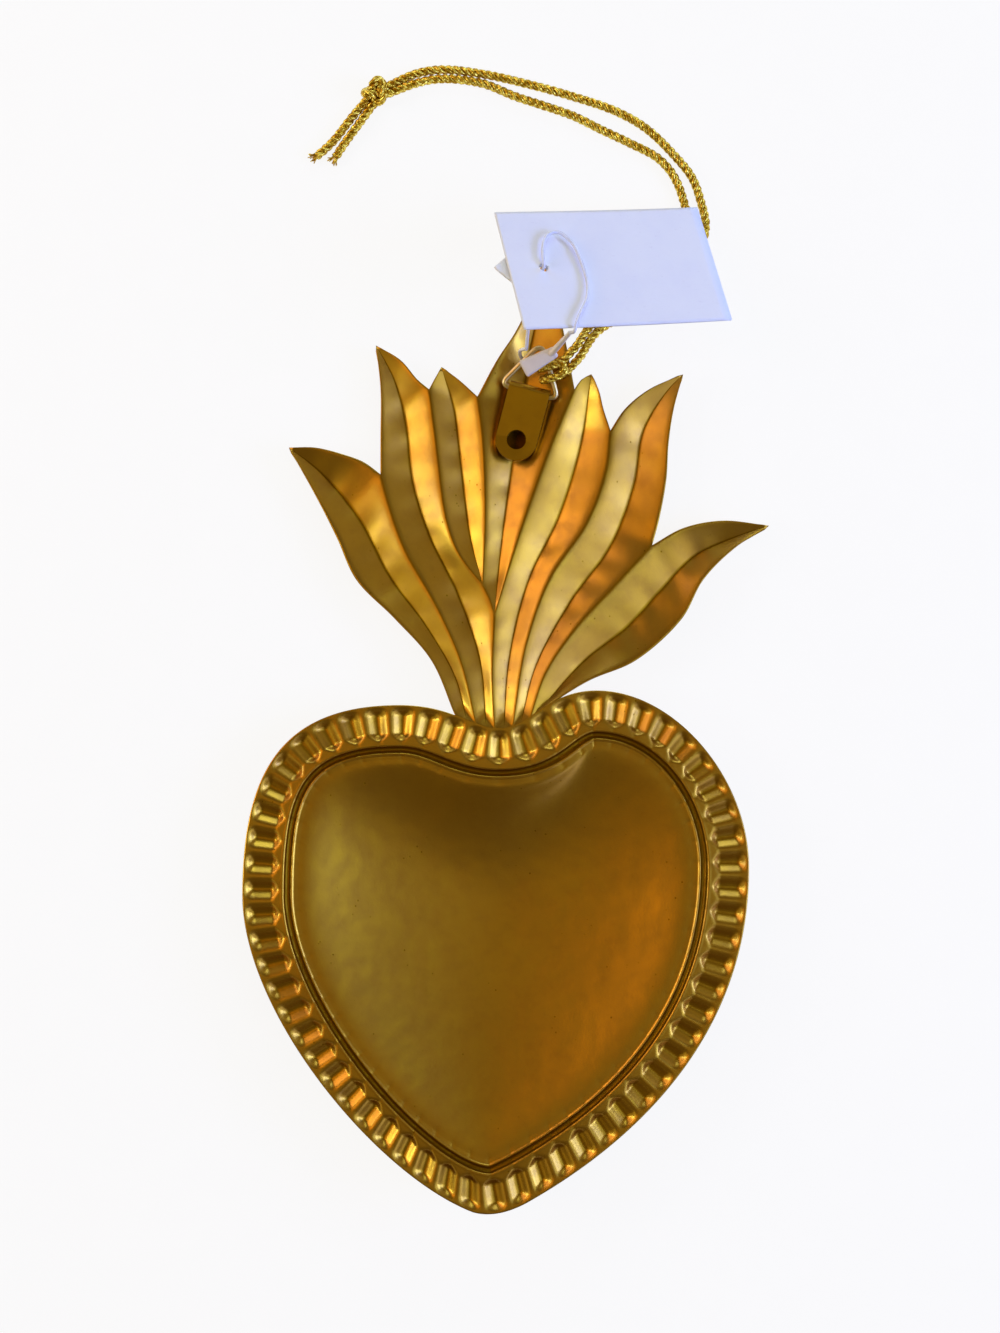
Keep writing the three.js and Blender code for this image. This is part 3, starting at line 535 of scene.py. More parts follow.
def cord_material():
    material, nodes, shader, place = new_material("gilt_cord")
    threads = nodes.noise(place, 1500, 3)
    worn = nodes.between(threads, 0.4, 0.62)
    nodes.put(shader["Base Color"], mix_colours(nodes, worn, colour(176, 132, 10), colour(254, 228, 96)))
    nodes.put(shader["Roughness"], nodes.between(threads, 0.3, 0.7, 0.42, 0.2))
    nodes.put(shader["Normal"], nodes.bump(threads, 0.00025))
    shader["Metallic"].default_value = 0.9
    return material


def nylon_material(name, milky, pale, clearness):
    material, nodes, shader, place = new_material(name)
    haze = nodes.between(nodes.noise(place, 150, 2), 0.35, 0.65)
    nodes.put(shader["Base Color"], mix_colours(nodes, haze, milky, pale))
    nodes.put(shader["Roughness"], nodes.between(haze, 0, 1, 0.28, 0.4))
    shader["Transmission Weight"].default_value = clearness
    shader["IOR"].default_value = 1.45
    return material


def card_material():
    material, nodes, shader, place = new_material("blank_card")
    fibres = nodes.noise(nodes.stretched(place, (900, 2200, 900), 0.3), 1.0, 4)
    clouds = nodes.between(nodes.noise(place, 90, 3), 0.35, 0.7)
    paper = mix_colours(nodes, clouds, colour(240, 246, 255), colour(236, 242, 254))
    flecks = nodes.between(fibres, 0.62, 0.75, 0, 0.2)
    nodes.put(shader["Base Color"], mix_colours(nodes, flecks, paper, colour(208, 208, 226)))
    nodes.put(shader["Roughness"], nodes.between(fibres, 0.3, 0.7, 0.55, 0.75))
    nodes.put(shader["Normal"], nodes.bump(fibres, 0.00005))
    return material


# The sheet's three paints are painted shade: in the groove and flute valleys, along flame outlines and
# creases, and below the strap's hole.
plate_brass = metal("plate_brass", colour(192, 146, 6), colour(172, 124, 0), colour(60, 24, 0), 0.00012,
                    0.8, [("groove", 0.5), ("crease", 0.75), ("strap_shade", 0.9)])
strap_brass = metal("strap_brass", colour(188, 144, 8), colour(166, 122, 4), colour(60, 36, 6), 0.00008, 0.4)
ring_brass = metal("ring_brass", colour(226, 206, 150), colour(190, 164, 104), colour(80, 54, 22), 0.00008)
solder_tin = metal("solder_tin", colour(168, 166, 160), colour(132, 130, 124), colour(70, 64, 54), 0.0003)
red_enamel = enamel_material()
gilt_cord = cord_material()
nylon = nylon_material("nylon", colour(244, 238, 230), colour(232, 226, 218), 0.15)
nylon_thread = nylon_material("nylon_thread", colour(236, 241, 255), colour(228, 234, 252), 0.3)
blank_card = card_material()


# Gilt cord: two twisted strands from the hitch on the ring to the knot
corner_east = np.array([RING_WIDTH / 2, 0, 0])
corner_west = np.array([-RING_WIDTH / 2, 0, 0])
crown_of_ring = np.array([0, RING_HEIGHT, 0])
leg_along = (crown_of_ring - corner_east) / np.linalg.norm(crown_of_ring - corner_east)
leg_out = np.array([leg_along[1], -leg_along[0], 0])
hitch_middle = corner_east + HITCH_ALONG_LEG * leg_along


def half_hitch(side):
    """One half of the hitch, from its bight to the place where the strand leaves it."""
    half = []
    for out, along, up in reversed(HITCH_HALF):
        lean = HITCH_LEAN * max(0, out - WRAP_REACH) ** 2
        half.append(hitch_middle + out * leg_out + (side * along + lean) * leg_along + (0, 0, up))
    return moved(ring_frame, half)


def on_table(point):
    x, y = point
    return BAR_PLACE * (1, 1, 0) + (x * LOOP_REACH / 100, y * LOOP_REACH / 100, CORD_RADIUS)


def knot_side(degrees):
    angle = math.radians(degrees)
    standoff = KNOT_LENGTH / 2 - CORD_RADIUS
    return on_table(KNOT_CENTRE) + (standoff * math.cos(angle), standoff * math.sin(angle), 0)


def strand_route(side, falling, lying, knot_angle):
    hitch = half_hitch(side)
    onward = (hitch[-1] - hitch[-2]) / np.linalg.norm(hitch[-1] - hitch[-2])
    lead = hitch[-1] + onward * 2 * CORD_RADIUS
    route = [*hitch, lead]
    for k, point in enumerate(falling):
        left = 1 - (k + 1) / (len(falling) + 1)
        route.append(on_table(point) + (0, 0, (lead[2] - CORD_RADIUS) * left**2))
    return np.array(route + [on_table(point) for point in lying] + [knot_side(knot_angle)])


outer_route = strand_route(
    -1, [(20.4, 18.3), (27.4, 23.4), (35.5, 29.3)],
    [(45.1, 36), (51.8, 43.2), (54.4, 51.7), (52.8, 59.8), (50.2, 66.8), (44.7, 73.7), (36, 82),
     (26.8, 87.2), (13.4, 91.8), (0, 95.5), (-14.3, 98.7), (-26.6, 100), (-34.6, 98.8)], 37)
inner_route = strand_route(
    1, [(18.8, 20.4), (25.8, 25.6), (33.9, 31.5)],
    [(40.8, 38.3), (46.6, 45), (48.9, 52.3), (47.7, 59.4), (44.5, 67.4), (39.7, 72.8), (31.3, 77.3),
     (22.6, 81.4), (13.4, 85.9), (4.7, 88.9), (-4.2, 91.8), (-14.3, 95.8), (-26.6, 97.2), (-33.8, 96.1)], -5)
long_tail_route = np.array([knot_side(208)] + [on_table(point) for point in (
    (-54.9, 84.7), (-59.7, 78.5), (-63.3, 75), (-67, 72.2))])
short_tail_route = np.array([knot_side(258)] + [on_table(point) for point in (
    (-52.6, 82.9), (-56.9, 77), (-60.6, 71.3))])


def add_twisted_cord(shape, line, radius, step=CORD_STEP):
    """Lays the plies of a cord round a line, each of them spun from finer threads."""
    line = resampled(line, max(4, round(travelled(line)[-1] / step)))
    across, up = frames_along(line)
    turn = 2 * math.pi * travelled(line) / CORD_PITCH
    ply_radius = radius / (1 + 2 / math.sqrt(3))
    ply_reach = radius - ply_radius
    for ply in range(CORD_PLIES):
        angle = turn + 2 * math.pi * ply / CORD_PLIES
        ply_line = line + ply_reach * (np.cos(angle)[:, None] * across + np.sin(angle)[:, None] * up)
        shape.tube(ply_line, ply_radius, 15, THREADS_PER_PLY, 0.12, 1.1)


def build_strand(name, route, nodes):
    line = smooth_line(route, 0.25)
    shape = Shape()
    add_twisted_cord(shape, line, CORD_RADIUS)
    strand = shape.build(name, Matrix(), gilt_cord, "gilt_cord")
    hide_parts(*nodes)
    return strand, line


strand_outer, outer_line = build_strand("cord_outer", outer_route, ["cord_strand_outer", "cord_hitch"])
strand_inner, inner_line = build_strand("cord_inner", inner_route, ["cord_strand_inner"])


def build_knot():
    """A pulled overhand knot: one turn of a three-lobed curve, flattened onto the table."""
    t = np.linspace(0.35, 2 * math.pi + 0.1, 90)
    curve = np.column_stack([np.sin(t) + 2 * np.sin(2 * t), np.cos(t) - 2 * np.cos(2 * t),
                             -1.5 * np.sin(3 * t)])
    curve *= (0.78, 0.68, 0.95)
    shape = Shape()
    add_twisted_cord(shape, curve, CORD_RADIUS, 0.25)
    place = Matrix.Translation(on_table(KNOT_CENTRE) + (0, 0, 1.55)) @ Matrix.Rotation(KNOT_TURN, 4, "Z")
    knot = shape.build("knot", place, gilt_cord, "gilt_cord")
    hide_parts("cord_knot")
    return knot


def build_tail(name, route, node):
    """A cut cord end whose last threads fan out."""
    line = smooth_line(route, 0.25)
    shape = Shape()
    add_twisted_cord(shape, line[:-6], CORD_RADIUS)
    ahead = (line[-1] - line[-8]) / np.linalg.norm(line[-1] - line[-8])
    aside = np.array([-ahead[1], ahead[0], 0])
    for k in range(16):
        spread = random.uniform(-0.5, 0.5)
        lift = random.uniform(-0.4, 0.5)
        start = line[-9] + aside * spread + (0, 0, lift)
        bend = start + ahead * 1.1 + aside * spread * 0.5
        end = bend + ahead * random.uniform(0.3, 1.2) + aside * spread * 1.3 - (0, 0, 0.5 * lift)
        shape.tube(smooth_line([start, bend, end], 0.2), 0.11, 6)
    tail = shape.build(name, Matrix(), gilt_cord, "gilt_cord")
    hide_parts(node)
    return tail


knot = build_knot()
tail_long = build_tail("tail_long", long_tail_route, "cord_tail_long")
tail_short = build_tail("tail_short", short_tail_route, "cord_tail_short")
for strand, line, on_it in ((strand_outer, outer_line, (knot, tail_long)),
                            (strand_inner, inner_line, (tail_short,))):
    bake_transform(strand)
    metres(line[:1])[0]
    metres(resampled(line, 40))
for piece in (knot, tail_long, tail_short):
    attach(piece, "ornament")


# Pressed sheet
def on_heart(points):
    return np.array(points, float) * (HEART_WIDTH / 100, HEART_HEIGHT / 100)


def on_crown(points):
    return on_heart(CROWN_FOOT) + np.array(points, float) * (CROWN_WIDTH / 100, CROWN_HEIGHT / 100)


def inset_control(points, distance):
    """Moves every leg of a closed control polygon inwards and joins them again at their crossings."""
    leaving = np.roll(points, -1, axis=0) - points
    leaving /= np.linalg.norm(leaving, axis=1, keepdims=True)
    in_leaving = np.column_stack([-leaving[:, 1], leaving[:, 0]])
    in_arriving = np.roll(in_leaving, 1, axis=0)
    share = 1 + np.sum(in_leaving * in_arriving, axis=1, keepdims=True)
    return points + (in_leaving + in_arriving) * distance / share


edge_control = on_heart(HEART_CONTROL)
field_control = inset_control(edge_control, RIM_WIDTH)


def on_curves(control, rounds):
    """Points on a closed run of cubic curves, from 0 round to 1."""
    along = np.mod(rounds, 1) * (len(control) // 3)
    piece = along.astype(int)
    t = (along - piece)[:, None]
    anchors = [control[(3 * piece + k) % len(control)] for k in range(4)]
    weights = [(1 - t) ** 3, 3 * t * (1 - t) ** 2, 3 * t**2 * (1 - t), t**3]
    return sum(weight * anchor for weight, anchor in zip(weights, anchors))


def on_edge_curves(rounds):
    """Points on the trimmed edge, whose lower point is rounded off by a parabola."""
    points = on_curves(edge_control, rounds)
    from_tip = np.mod(rounds + 0.5, 1) - 0.5
    near = abs(from_tip) < TIP_ROUNDING
    before, tip, after = on_curves(edge_control, np.array([-TIP_ROUNDING, 0, TIP_ROUNDING]))
    t = ((from_tip / TIP_ROUNDING + 1) / 2)[near, None]
    points[near] = (1 - t) ** 2 * before + 2 * t * (1 - t) * tip + t**2 * after
    return points


def on_rim(rounds, inset):
    share = inset / RIM_WIDTH
    return (1 - share) * on_edge_curves(rounds) + share * on_curves(field_control, rounds)


def even_rounds(count):
    """Places round the heart at equal steps along the middle of the flutes."""
    fine = np.linspace(0, 1, 4801)
    along = travelled(on_rim(fine, (FLUTE_FULL_FROM + FLUTE_FULL_TO) / 2))
    return np.interp(np.arange(count) / count * along[-1], along, fine)


def flute_dent(inset, rounds):
    """Depth of the flutes, from 0 on the land to 1 in their valleys: arched inside, run out at the edge."""
    valley = (1 + np.cos(2 * math.pi * FLUTE_COUNT * rounds)) / 2
    arched = valley - 1 + smooth_step((FLUTE_END - inset) / (FLUTE_END - FLUTE_FULL_TO))
    run_out = smooth_step((inset - EDGE_LAND) / (FLUTE_FULL_FROM - EDGE_LAND))
    return run_out * (arched + np.hypot(arched, FLUTE_SOFTNESS)) / 2


def dish_row(rounds, share, drop):
    """One contour of the dish: the field's border, smaller and with its lobes smoothed away."""
    border = on_rim(rounds, RIM_WIDTH)
    waves = np.fft.fft(border[:, 0] + 1j * border[:, 1])
    order = np.fft.fftfreq(len(border), 1 / len(border))
    contour = np.fft.ifft(waves * np.exp(-(DISH_SMOOTHING * share * order) ** 2)) * (1 - share)
    plan = np.column_stack([contour.real, contour.imag])
    eased = share - DISH_SHOULDER * (1 - math.exp(-share / DISH_SHOULDER))
    height = -FIELD_STEP - DISH_DEPTH * (1 - (1 - eased) ** DISH_ROUNDNESS) - drop
    return np.column_stack([plan, np.full(len(plan), height)])


def add_dish(shape, rounds, outer, first, drop):
    for share in first + (0.96 - first) * np.linspace(0, 1, DISH_RINGS)[1:] ** 1.5:
        inner = shape.row(dish_row(rounds, share, drop))
        shape.ring_strip(outer, inner)
        outer = inner
    shape.faces.append(outer)


def add_heart(shape):
    """Rim and dish; gives back the row on the trimmed edge."""
    count = FLUTE_COUNT * POINTS_PER_FLUTE
    rounds = even_rounds(count)
    even = np.arange(count) / count
    land = [(inset, 0) for inset in np.linspace(0, FLUTE_END, 27)[:-1]]
    rows = []
    for inset, height in [*land, *smooth_line(GROOVE_PROFILE, 0.14)]:
        dent = flute_dent(inset, even)
        points = np.column_stack([on_rim(rounds, inset), height - FLUTE_DEPTH * dent])
        # Painted shade: darkest in the groove round the field, and also in the flutes' valleys.
        darkening = smooth_step(2 * (0.9 - abs(inset - GROOVE_MIDDLE)))
        rows.append(shape.row(points, groove=np.maximum(darkening, 0.5 * dent**3)))
    for outer, inner in zip(rows, rows[1:]):
        shape.ring_strip(outer, inner)
    add_dish(shape, rounds, rows[-1], 0, 0)
    return rows[0]


def distance_to_line(points, line):
    """Distance of each point from a line of straight pieces, in plan."""
    start = line[:-1, :2]
    piece = line[1:, :2] - start
    offset = points[:, None, :2] - start
    share = np.clip(np.sum(offset * piece, axis=2) / np.sum(piece * piece, axis=1), 0, 1)
    return np.linalg.norm(offset - share[..., None] * piece, axis=2).min(axis=1)


def add_face(shape, boundary, crease, depths, crease_on_right):
    """One face of a flame, from its soft crest down to its crisp crease."""
    edge = shape.at(boundary)
    middle = shape.at(crease)
    edge_share = travelled(edge) / travelled(edge)[-1]
    middle_share = travelled(middle) / travelled(middle)[-1]
    opposite = np.column_stack([np.interp(edge_share, middle_share, middle[:, k]) for k in range(2)])
    depth = np.interp(edge_share, middle_share, depths)
    full = math.hypot(1, CREST_ROUNDING) - CREST_ROUNDING
    outer = boundary
    for share in FACE_SHARES:
        fall = (math.hypot(share, CREST_ROUNDING) - CREST_ROUNDING) / full
        plan = edge[:, :2] + share * (opposite - edge[:, :2])
        points = np.column_stack([plan, -depth * fall])[1:-1]
        inner = [boundary[0], *shape.row(points), boundary[-1]]
        shape.strip(*((inner, outer) if crease_on_right else (outer, inner)))
        outer = inner
    shape.zip_strip(*((crease, outer) if crease_on_right else (outer, crease)))


def add_flames(shape, edge):
    """The seven flames, grown from the heart's edge between the two outer feet."""
    edge_points = shape.at(edge)
    nearest = [int(np.argmin(distance_to_line(edge_points, np.array([foot, foot + (1e-6, 0)]))))
               for foot in (on_heart(FLAME_FOOT_WEST), on_heart(FLAME_FOOT_EAST))]
    feet = [round(nearest[0] + (nearest[1] - nearest[0]) * k / FOOT_COUNT) for k in range(FOOT_COUNT + 1)]

    def foot(k):
        return edge[feet[k]]

    def rise(point):
        return shape.row([(*on_crown(point), 0)])[0]

    tip = [rise(point) for point in TIPS]
    notch = [rise(point) for point in NOTCHES]
    third = rise(FORK_THIRD)
    centre = rise(FORK_CENTRE)

    # Flame outlines, ridges and free edges alike, carry a line of painted shade (groove); creases carry a
    # darker line of painted shade (crease).
    def flow(start, through, end, groove=0.7, crease=0.0):
        plan = np.vstack([shape.at([start])[:, :2], on_crown(through), shape.at([end])[:, :2]])
        line = smooth_line(plan, FLAME_STEP)[1:-1]
        flat = np.column_stack([line, np.zeros(len(line))])
        return [start, *shape.row(flat, groove=groove, crease=crease), end]

    def crease(start, through, end):
        return flow(start, through, end, groove=0.0, crease=1.0)

    def join(*rows):
        return [index for k, row in enumerate(rows) for index in row[1 if k else 0:]]

    first_second = flow(foot(2), [(-8.6, 10.8), (-13.6, 22.6), (-20.2, 34.9), (-23.7, 45.2)], notch[0])
    second_fifth = flow(foot(4), [(-2, 7)], centre)
    second_centre = flow(centre, [(-2.5, 24.2)], third)
    second_third = flow(third, [(-9.1, 34.4), (-11.6, 41.9), (-13.6, 57.5)], notch[1])
    third_centre = flow(third, [(-3.5, 39.8), (-3.5, 48.4), (-4, 59.7)], notch[2])
    centre_fifth = flow(centre, [(1, 29.6), (5.1, 43), (10.1, 57.5)], notch[3])
    fifth_sixth = flow(foot(6), [(5.1, 14.5), (10.1, 29), (17.7, 40.9), (21.7, 52.2)], notch[4])
    sixth_seventh = flow(foot(8), [(9.1, 8.1), (15.7, 18.3), (23.2, 26.9)], notch[5])
    flames = [
        (flow(foot(0), [(-14.6, 10.8), (-22.2, 19.9), (-30.3, 28.5), (-34.3, 37.6), (-38.4, 46.2)], tip[0]),
         join(first_second, flow(notch[0], [(-28.8, 54.3), (-32.8, 55.9), (-38.9, 57.5)], tip[0])),
         crease(foot(1), [(-9.6, 7), (-15.7, 18.3), (-23.2, 29), (-29.8, 41.9), (-37.9, 52.2)], tip[0]),
         (0, 1, 2)),
        (join(first_second, flow(notch[0], [(-25.3, 59.7), (-25.3, 70.4)], tip[1])),
         join(second_fifth, second_centre, second_third,
              flow(notch[1], [(-17.7, 72.6), (-21.2, 76.9)], tip[1])),
         crease(foot(3), [(-4.5, 10.8), (-9.1, 25.3), (-15.2, 38.7), (-18.7, 50.5), (-20.2, 63.4),
                          (-22.7, 73.1)], tip[1]),
         (2, 3, 4)),
        (join(second_third, flow(notch[1], [(-14.1, 72.6)], tip[2])),
         join(third_centre, flow(notch[2], [(-9.1, 72.6)], tip[2])),
         crease(third, [(-6.6, 38.2), (-8.6, 54.3), (-10.1, 66.7)], tip[2]),
         None),
        (join(second_centre, third_centre, flow(notch[2], [(-1, 76.9), (3, 83.3), (6.1, 90.3)], tip[3])),
         join(centre_fifth, flow(notch[3], [(14.1, 76.9), (12.6, 84.9), (11.1, 92.5)], tip[3])),
         crease(centre, [(0, 37.1), (2, 52.7), (4, 66.1), (6.1, 80.6), (8.1, 90.3)], tip[3]),
         None),
        (join(second_fifth, centre_fifth, flow(notch[3], [(16.7, 72.6)], tip[4])),
         join(fifth_sixth, flow(notch[4], [(21.2, 66.1), (20.2, 70.4)], tip[4])),
         crease(foot(5), [(1.5, 10.8), (5.6, 28.5), (12.1, 43), (16.7, 59.1)], tip[4]),
         (4, 5, 6)),
        (join(fifth_sixth, flow(notch[4], [(25.8, 66.1), (30.8, 70.4)], tip[5])),
         join(sixth_seventh,
              flow(notch[5], [(32.8, 41.9), (34.3, 50.5), (34.8, 58.6), (35.9, 66.1)], tip[5])),
         crease(foot(7), [(7.1, 9.7), (14.6, 24.2), (22.7, 36), (27.8, 50), (29.8, 61.8),
                          (34.8, 70.4)], tip[5]),
         (6, 7, 8)),
        (join(sixth_seventh, flow(notch[5], [(37.9, 39.8), (46, 41.4)], tip[6])),
         flow(foot(10), [(18.2, 6.5), (27.8, 10.8), (37.4, 19.9), (41.9, 28.5), (48.5, 35.5)], tip[6]),
         crease(foot(9), [(17.2, 10.8), (26.3, 18.3), (33.3, 26.3), (40.4, 33.9), (49.5, 38.2)], tip[6]),
         (8, 9, 10)),
    ]
    for left, right, middle, base in flames:
        line = shape.at(middle)
        half_width = (distance_to_line(line, shape.at(left)) + distance_to_line(line, shape.at(right))) / 2
        fade = np.minimum(1, np.linalg.norm(line - line[0], axis=1) / CREASE_FADE)
        waver = np.sin(2 * math.pi * (travelled(line) / WAVER_LENGTH + random.random()))
        depths = np.minimum(CREASE_DEPTH, FACE_SLOPE * half_width) * fade * (1 + CREASE_WAVER * waver)
        for index, depth in zip(middle[1:-1], depths[1:-1]):
            x, y, _ = shape.points[index]
            shape.points[index] = (x, y, -depth)
        left_foot = []
        right_foot = []
        if base is not None:
            left_foot = [middle[0], *edge[feet[base[1]] + 1:feet[base[0]]]]
            right_foot = [middle[0], *edge[feet[base[2]] + 1:feet[base[1]]][::-1]]
        add_face(shape, left_foot + left, middle, depths, True)
        add_face(shape, right_foot + right, middle, depths, False)


def thicken(piece, thickness):
    solid = piece.modifiers.new("sheet", "SOLIDIFY")
    solid.thickness = thickness * MM
    solid.offset = -1


def add_strap_shade(shape):
    """Painted shade on the sheet below the strap's hole, seen through the hole."""
    down_strap = STRAP_LENGTH - STRAP_WIDTH / 2
    hole = on_crown(STRAP_BAR) + down_strap * np.array([math.sin(STRAP_TURN), -math.cos(STRAP_TURN)])
    distance = np.linalg.norm(np.array(shape.points)[:, :2] - hole, axis=1)
    shape.paint["strap_shade"] = smooth_step((STRAP_HOLE - distance) / (STRAP_HOLE / 2))


sheet = Shape("groove", "crease", "strap_shade")
heart_edge = add_heart(sheet)
add_flames(sheet, heart_edge)
add_strap_shade(sheet)
plate = sheet.build("pressed_sheet", plate_frame, plate_brass, "pressed_brass", 40)
thicken(plate, SHEET_THICKNESS)
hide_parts("pressed_plate")
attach(plate, "ornament")

enamel_shape = Shape()
enamel_rounds = even_rounds(4 * FLUTE_COUNT)
enamel_drop = SHEET_THICKNESS + ENAMEL_CLEARANCE
enamel_edge = enamel_shape.row(dish_row(enamel_rounds, ENAMEL_MARGIN, enamel_drop))
add_dish(enamel_shape, enamel_rounds, enamel_edge, ENAMEL_MARGIN, enamel_drop)
enamel = enamel_shape.build("enamel_layer", plate_frame, red_enamel, "enamel", 50)
thicken(enamel, ENAMEL_THICKNESS)
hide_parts("enamel_field")
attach(enamel, "ornament")


# Strap: a strip folded round the bar, cut to its plan by a second solid
def flat_solid(name, outlines, depth, place):
    """A solid of that depth over one outline with holes, in the plane of a frame."""
    curve = bpy.data.curves.new(name, "CURVE")
    curve.dimensions = "2D"
    curve.fill_mode = "BOTH"
    curve.extrude = depth / 2 * MM
    for outline in outlines:
        spline = curve.splines.new("POLY")
        spline.points.add(len(outline) - 1)
        for point, (x, y) in zip(spline.points, outline):
            point.co = (x * MM, y * MM, 0, 1)
        spline.use_cyclic_u = True
    drawn = bpy.data.objects.new(name, curve)
    bpy.context.collection.objects.link(drawn)
    bpy.context.view_layer.update()
    mesh = bpy.data.meshes.new_from_object(drawn.evaluated_get(bpy.context.evaluated_depsgraph_get()))
    bpy.data.objects.remove(drawn)
    solid = bpy.data.objects.new(name, mesh)
    bpy.context.collection.objects.link(solid)
    scaled = place.copy()
    scaled.translation = place.translation * MM
    mesh.transform(scaled)
    return solid


def arc(x, y, radius, start, end, steps):
    angles = np.radians(np.linspace(start, end, steps))
    return [(x + radius * math.cos(angle), y + radius * math.sin(angle)) for angle in angles]


def build_strap():
    inside = WIRE_RADIUS + BAR_CLEARANCE
    outside = inside + STRAP_THICKNESS
    leaf_top = -inside + LEAF_GAP + STRAP_THICKNESS
    side = [
        (-STRAP_LENGTH, -outside), *arc(0, 0, outside, -90, 90, 17), (-FOLD_TAPER, leaf_top),
        (-STRAP_LENGTH, leaf_top), (-STRAP_LENGTH, leaf_top - STRAP_THICKNESS),
        (-FOLD_TAPER, leaf_top - STRAP_THICKNESS), *arc(0, 0, inside, 90, -90, 13), (-STRAP_LENGTH, -inside),
    ]
    end = STRAP_WIDTH / 2
    plan = [(end, 2 * outside), (-end, 2 * outside), *arc(0, end - STRAP_LENGTH, end, 180, 360, 33)]
    hole = arc(0, end - STRAP_LENGTH, STRAP_HOLE / 2, 0, 350, 36)
    on_edge = Matrix(((0, 0, 1, 0), (1, 0, 0, 0), (0, 1, 0, 0), (0, 0, 0, 1)))
    strap = flat_solid("folded_strap", [side], STRAP_WIDTH, hanger_frame @ on_edge)
    cutter = flat_solid("strap_cutter", [plan, hole], 4 * outside, hanger_frame)
    cut = strap.modifiers.new("cut", "BOOLEAN")
    cut.operation = "INTERSECT"
    cut.object = cutter
    soften = strap.modifiers.new("soften", "BEVEL")
    soften.width = STRAP_SOFTENING * MM
    soften.segments = 2
    soften.angle_limit = math.radians(40)
    strap.data.shade_smooth()
    cutter.data.shade_smooth()
    strap.modifiers.new("flat_faces", "WEIGHTED_NORMAL")
    bpy.context.view_layer.update()
    strap.data = bpy.data.meshes.new_from_object(strap.evaluated_get(bpy.context.evaluated_depsgraph_get()))
    strap.modifiers.clear()
    bpy.data.objects.remove(cutter)
    strap.data.materials.clear()
    strap.data.materials.append(strap_brass)
    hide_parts("hanger_strap")
    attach(strap, "ornament")


build_strap()
for name in ("solder_bead_west", "solder_bead_east"):
    bead = bpy.data.objects[name]
    bead.data.materials.clear()
    bead.data.materials.append(solder_tin)


# Ring of wire whose butted ends meet inside the fold
def ring_line():
    def towards(start, end, distance):
        return start + (end - start) / np.linalg.norm(end - start) * distance

    start = np.array([RING_SPLIT / 2, 0, 0])
    end = np.array([-RING_SPLIT / 2, 0, 0])
    stops = [start, corner_east, crown_of_ring, corner_west, end]
    line = [start]
    for k, trim in enumerate((RING_CORNER, RING_CROWN, RING_CORNER)):
        corner = stops[k + 1]
        before = towards(corner, stops[k], trim)
        after = towards(corner, stops[k + 2], trim)
        for t in np.linspace(0, 1, 11):
            line.append((1 - t) ** 2 * before + 2 * t * (1 - t) * corner + t * t * after)
    return np.array(line + [end])


ring_shape = Shape()
ring_shape.tube(resampled(ring_line(), 160), WIRE_RADIUS, 20)
wire_ring = ring_shape.build("wire_ring", ring_frame, ring_brass, "ring_wire", 60)
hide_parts("d_ring")
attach(wire_ring, "ring")


# Nylon lock, its eye round the ring and the loop through the card
def add_rounded_block(shape, place, size, rounding):
    """A block with all its edges rounded: the eighths of a small ball, moved apart."""
    inner = np.array(size) / 2 - rounding
    rows = []
    for polar in np.linspace(0.02, math.pi - 0.02, 20):
        turn = np.linspace(0, 2 * math.pi, 40, endpoint=False) + math.pi / 40
        ball = np.column_stack([math.sin(polar) * np.cos(turn), math.sin(polar) * np.sin(turn),
                                np.full(len(turn), math.cos(polar))])
        block = ball * rounding + np.sign(ball) * inner
        block[:, 1] *= 1 - LOCK_TAPER * block[:, 0] / size[0]
        rows.append(shape.row(moved(place, block)))
    for lower, upper in zip(rows, rows[1:]):
        shape.ring_strip(upper, lower)
    shape.faces.append(rows[0])
    shape.faces.append(rows[-1][::-1])


def build_lock():
    shape = Shape()
    middle = (LOCK_LOW + LOCK_HIGH) / 2
    turn = math.atan2(LOCK_HIGH[1] - LOCK_LOW[1], LOCK_HIGH[0] - LOCK_LOW[0])
    place = Matrix.Translation(middle) @ Matrix.Rotation(turn, 4, "Z")
    add_rounded_block(shape, place, LOCK_SIZE, LOCK_ROUNDING)
    root = LOCK_HIGH + (LOCK_LOW - LOCK_HIGH) * 0.15
    neck = resampled([root, NECK_END], 12)
    shape.tube(neck, np.linspace(NECK_RADIUS, 1.2 * FILAMENT_RADIUS, 12), 16)
    lock = shape.build("lock", ring_frame, nylon, "nylon", 60)
    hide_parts("tag_lock")
    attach(lock, "ring")
    eye_shape = Shape()
    eye_shape.tube(smooth_line(EYE_ROUTE, 0.3), FILAMENT_RADIUS, 12)
    eye = eye_shape.build("filament_eye", ring_frame, nylon_thread, "nylon")
    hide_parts("tag_filament_eye")
    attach(eye, "ring")


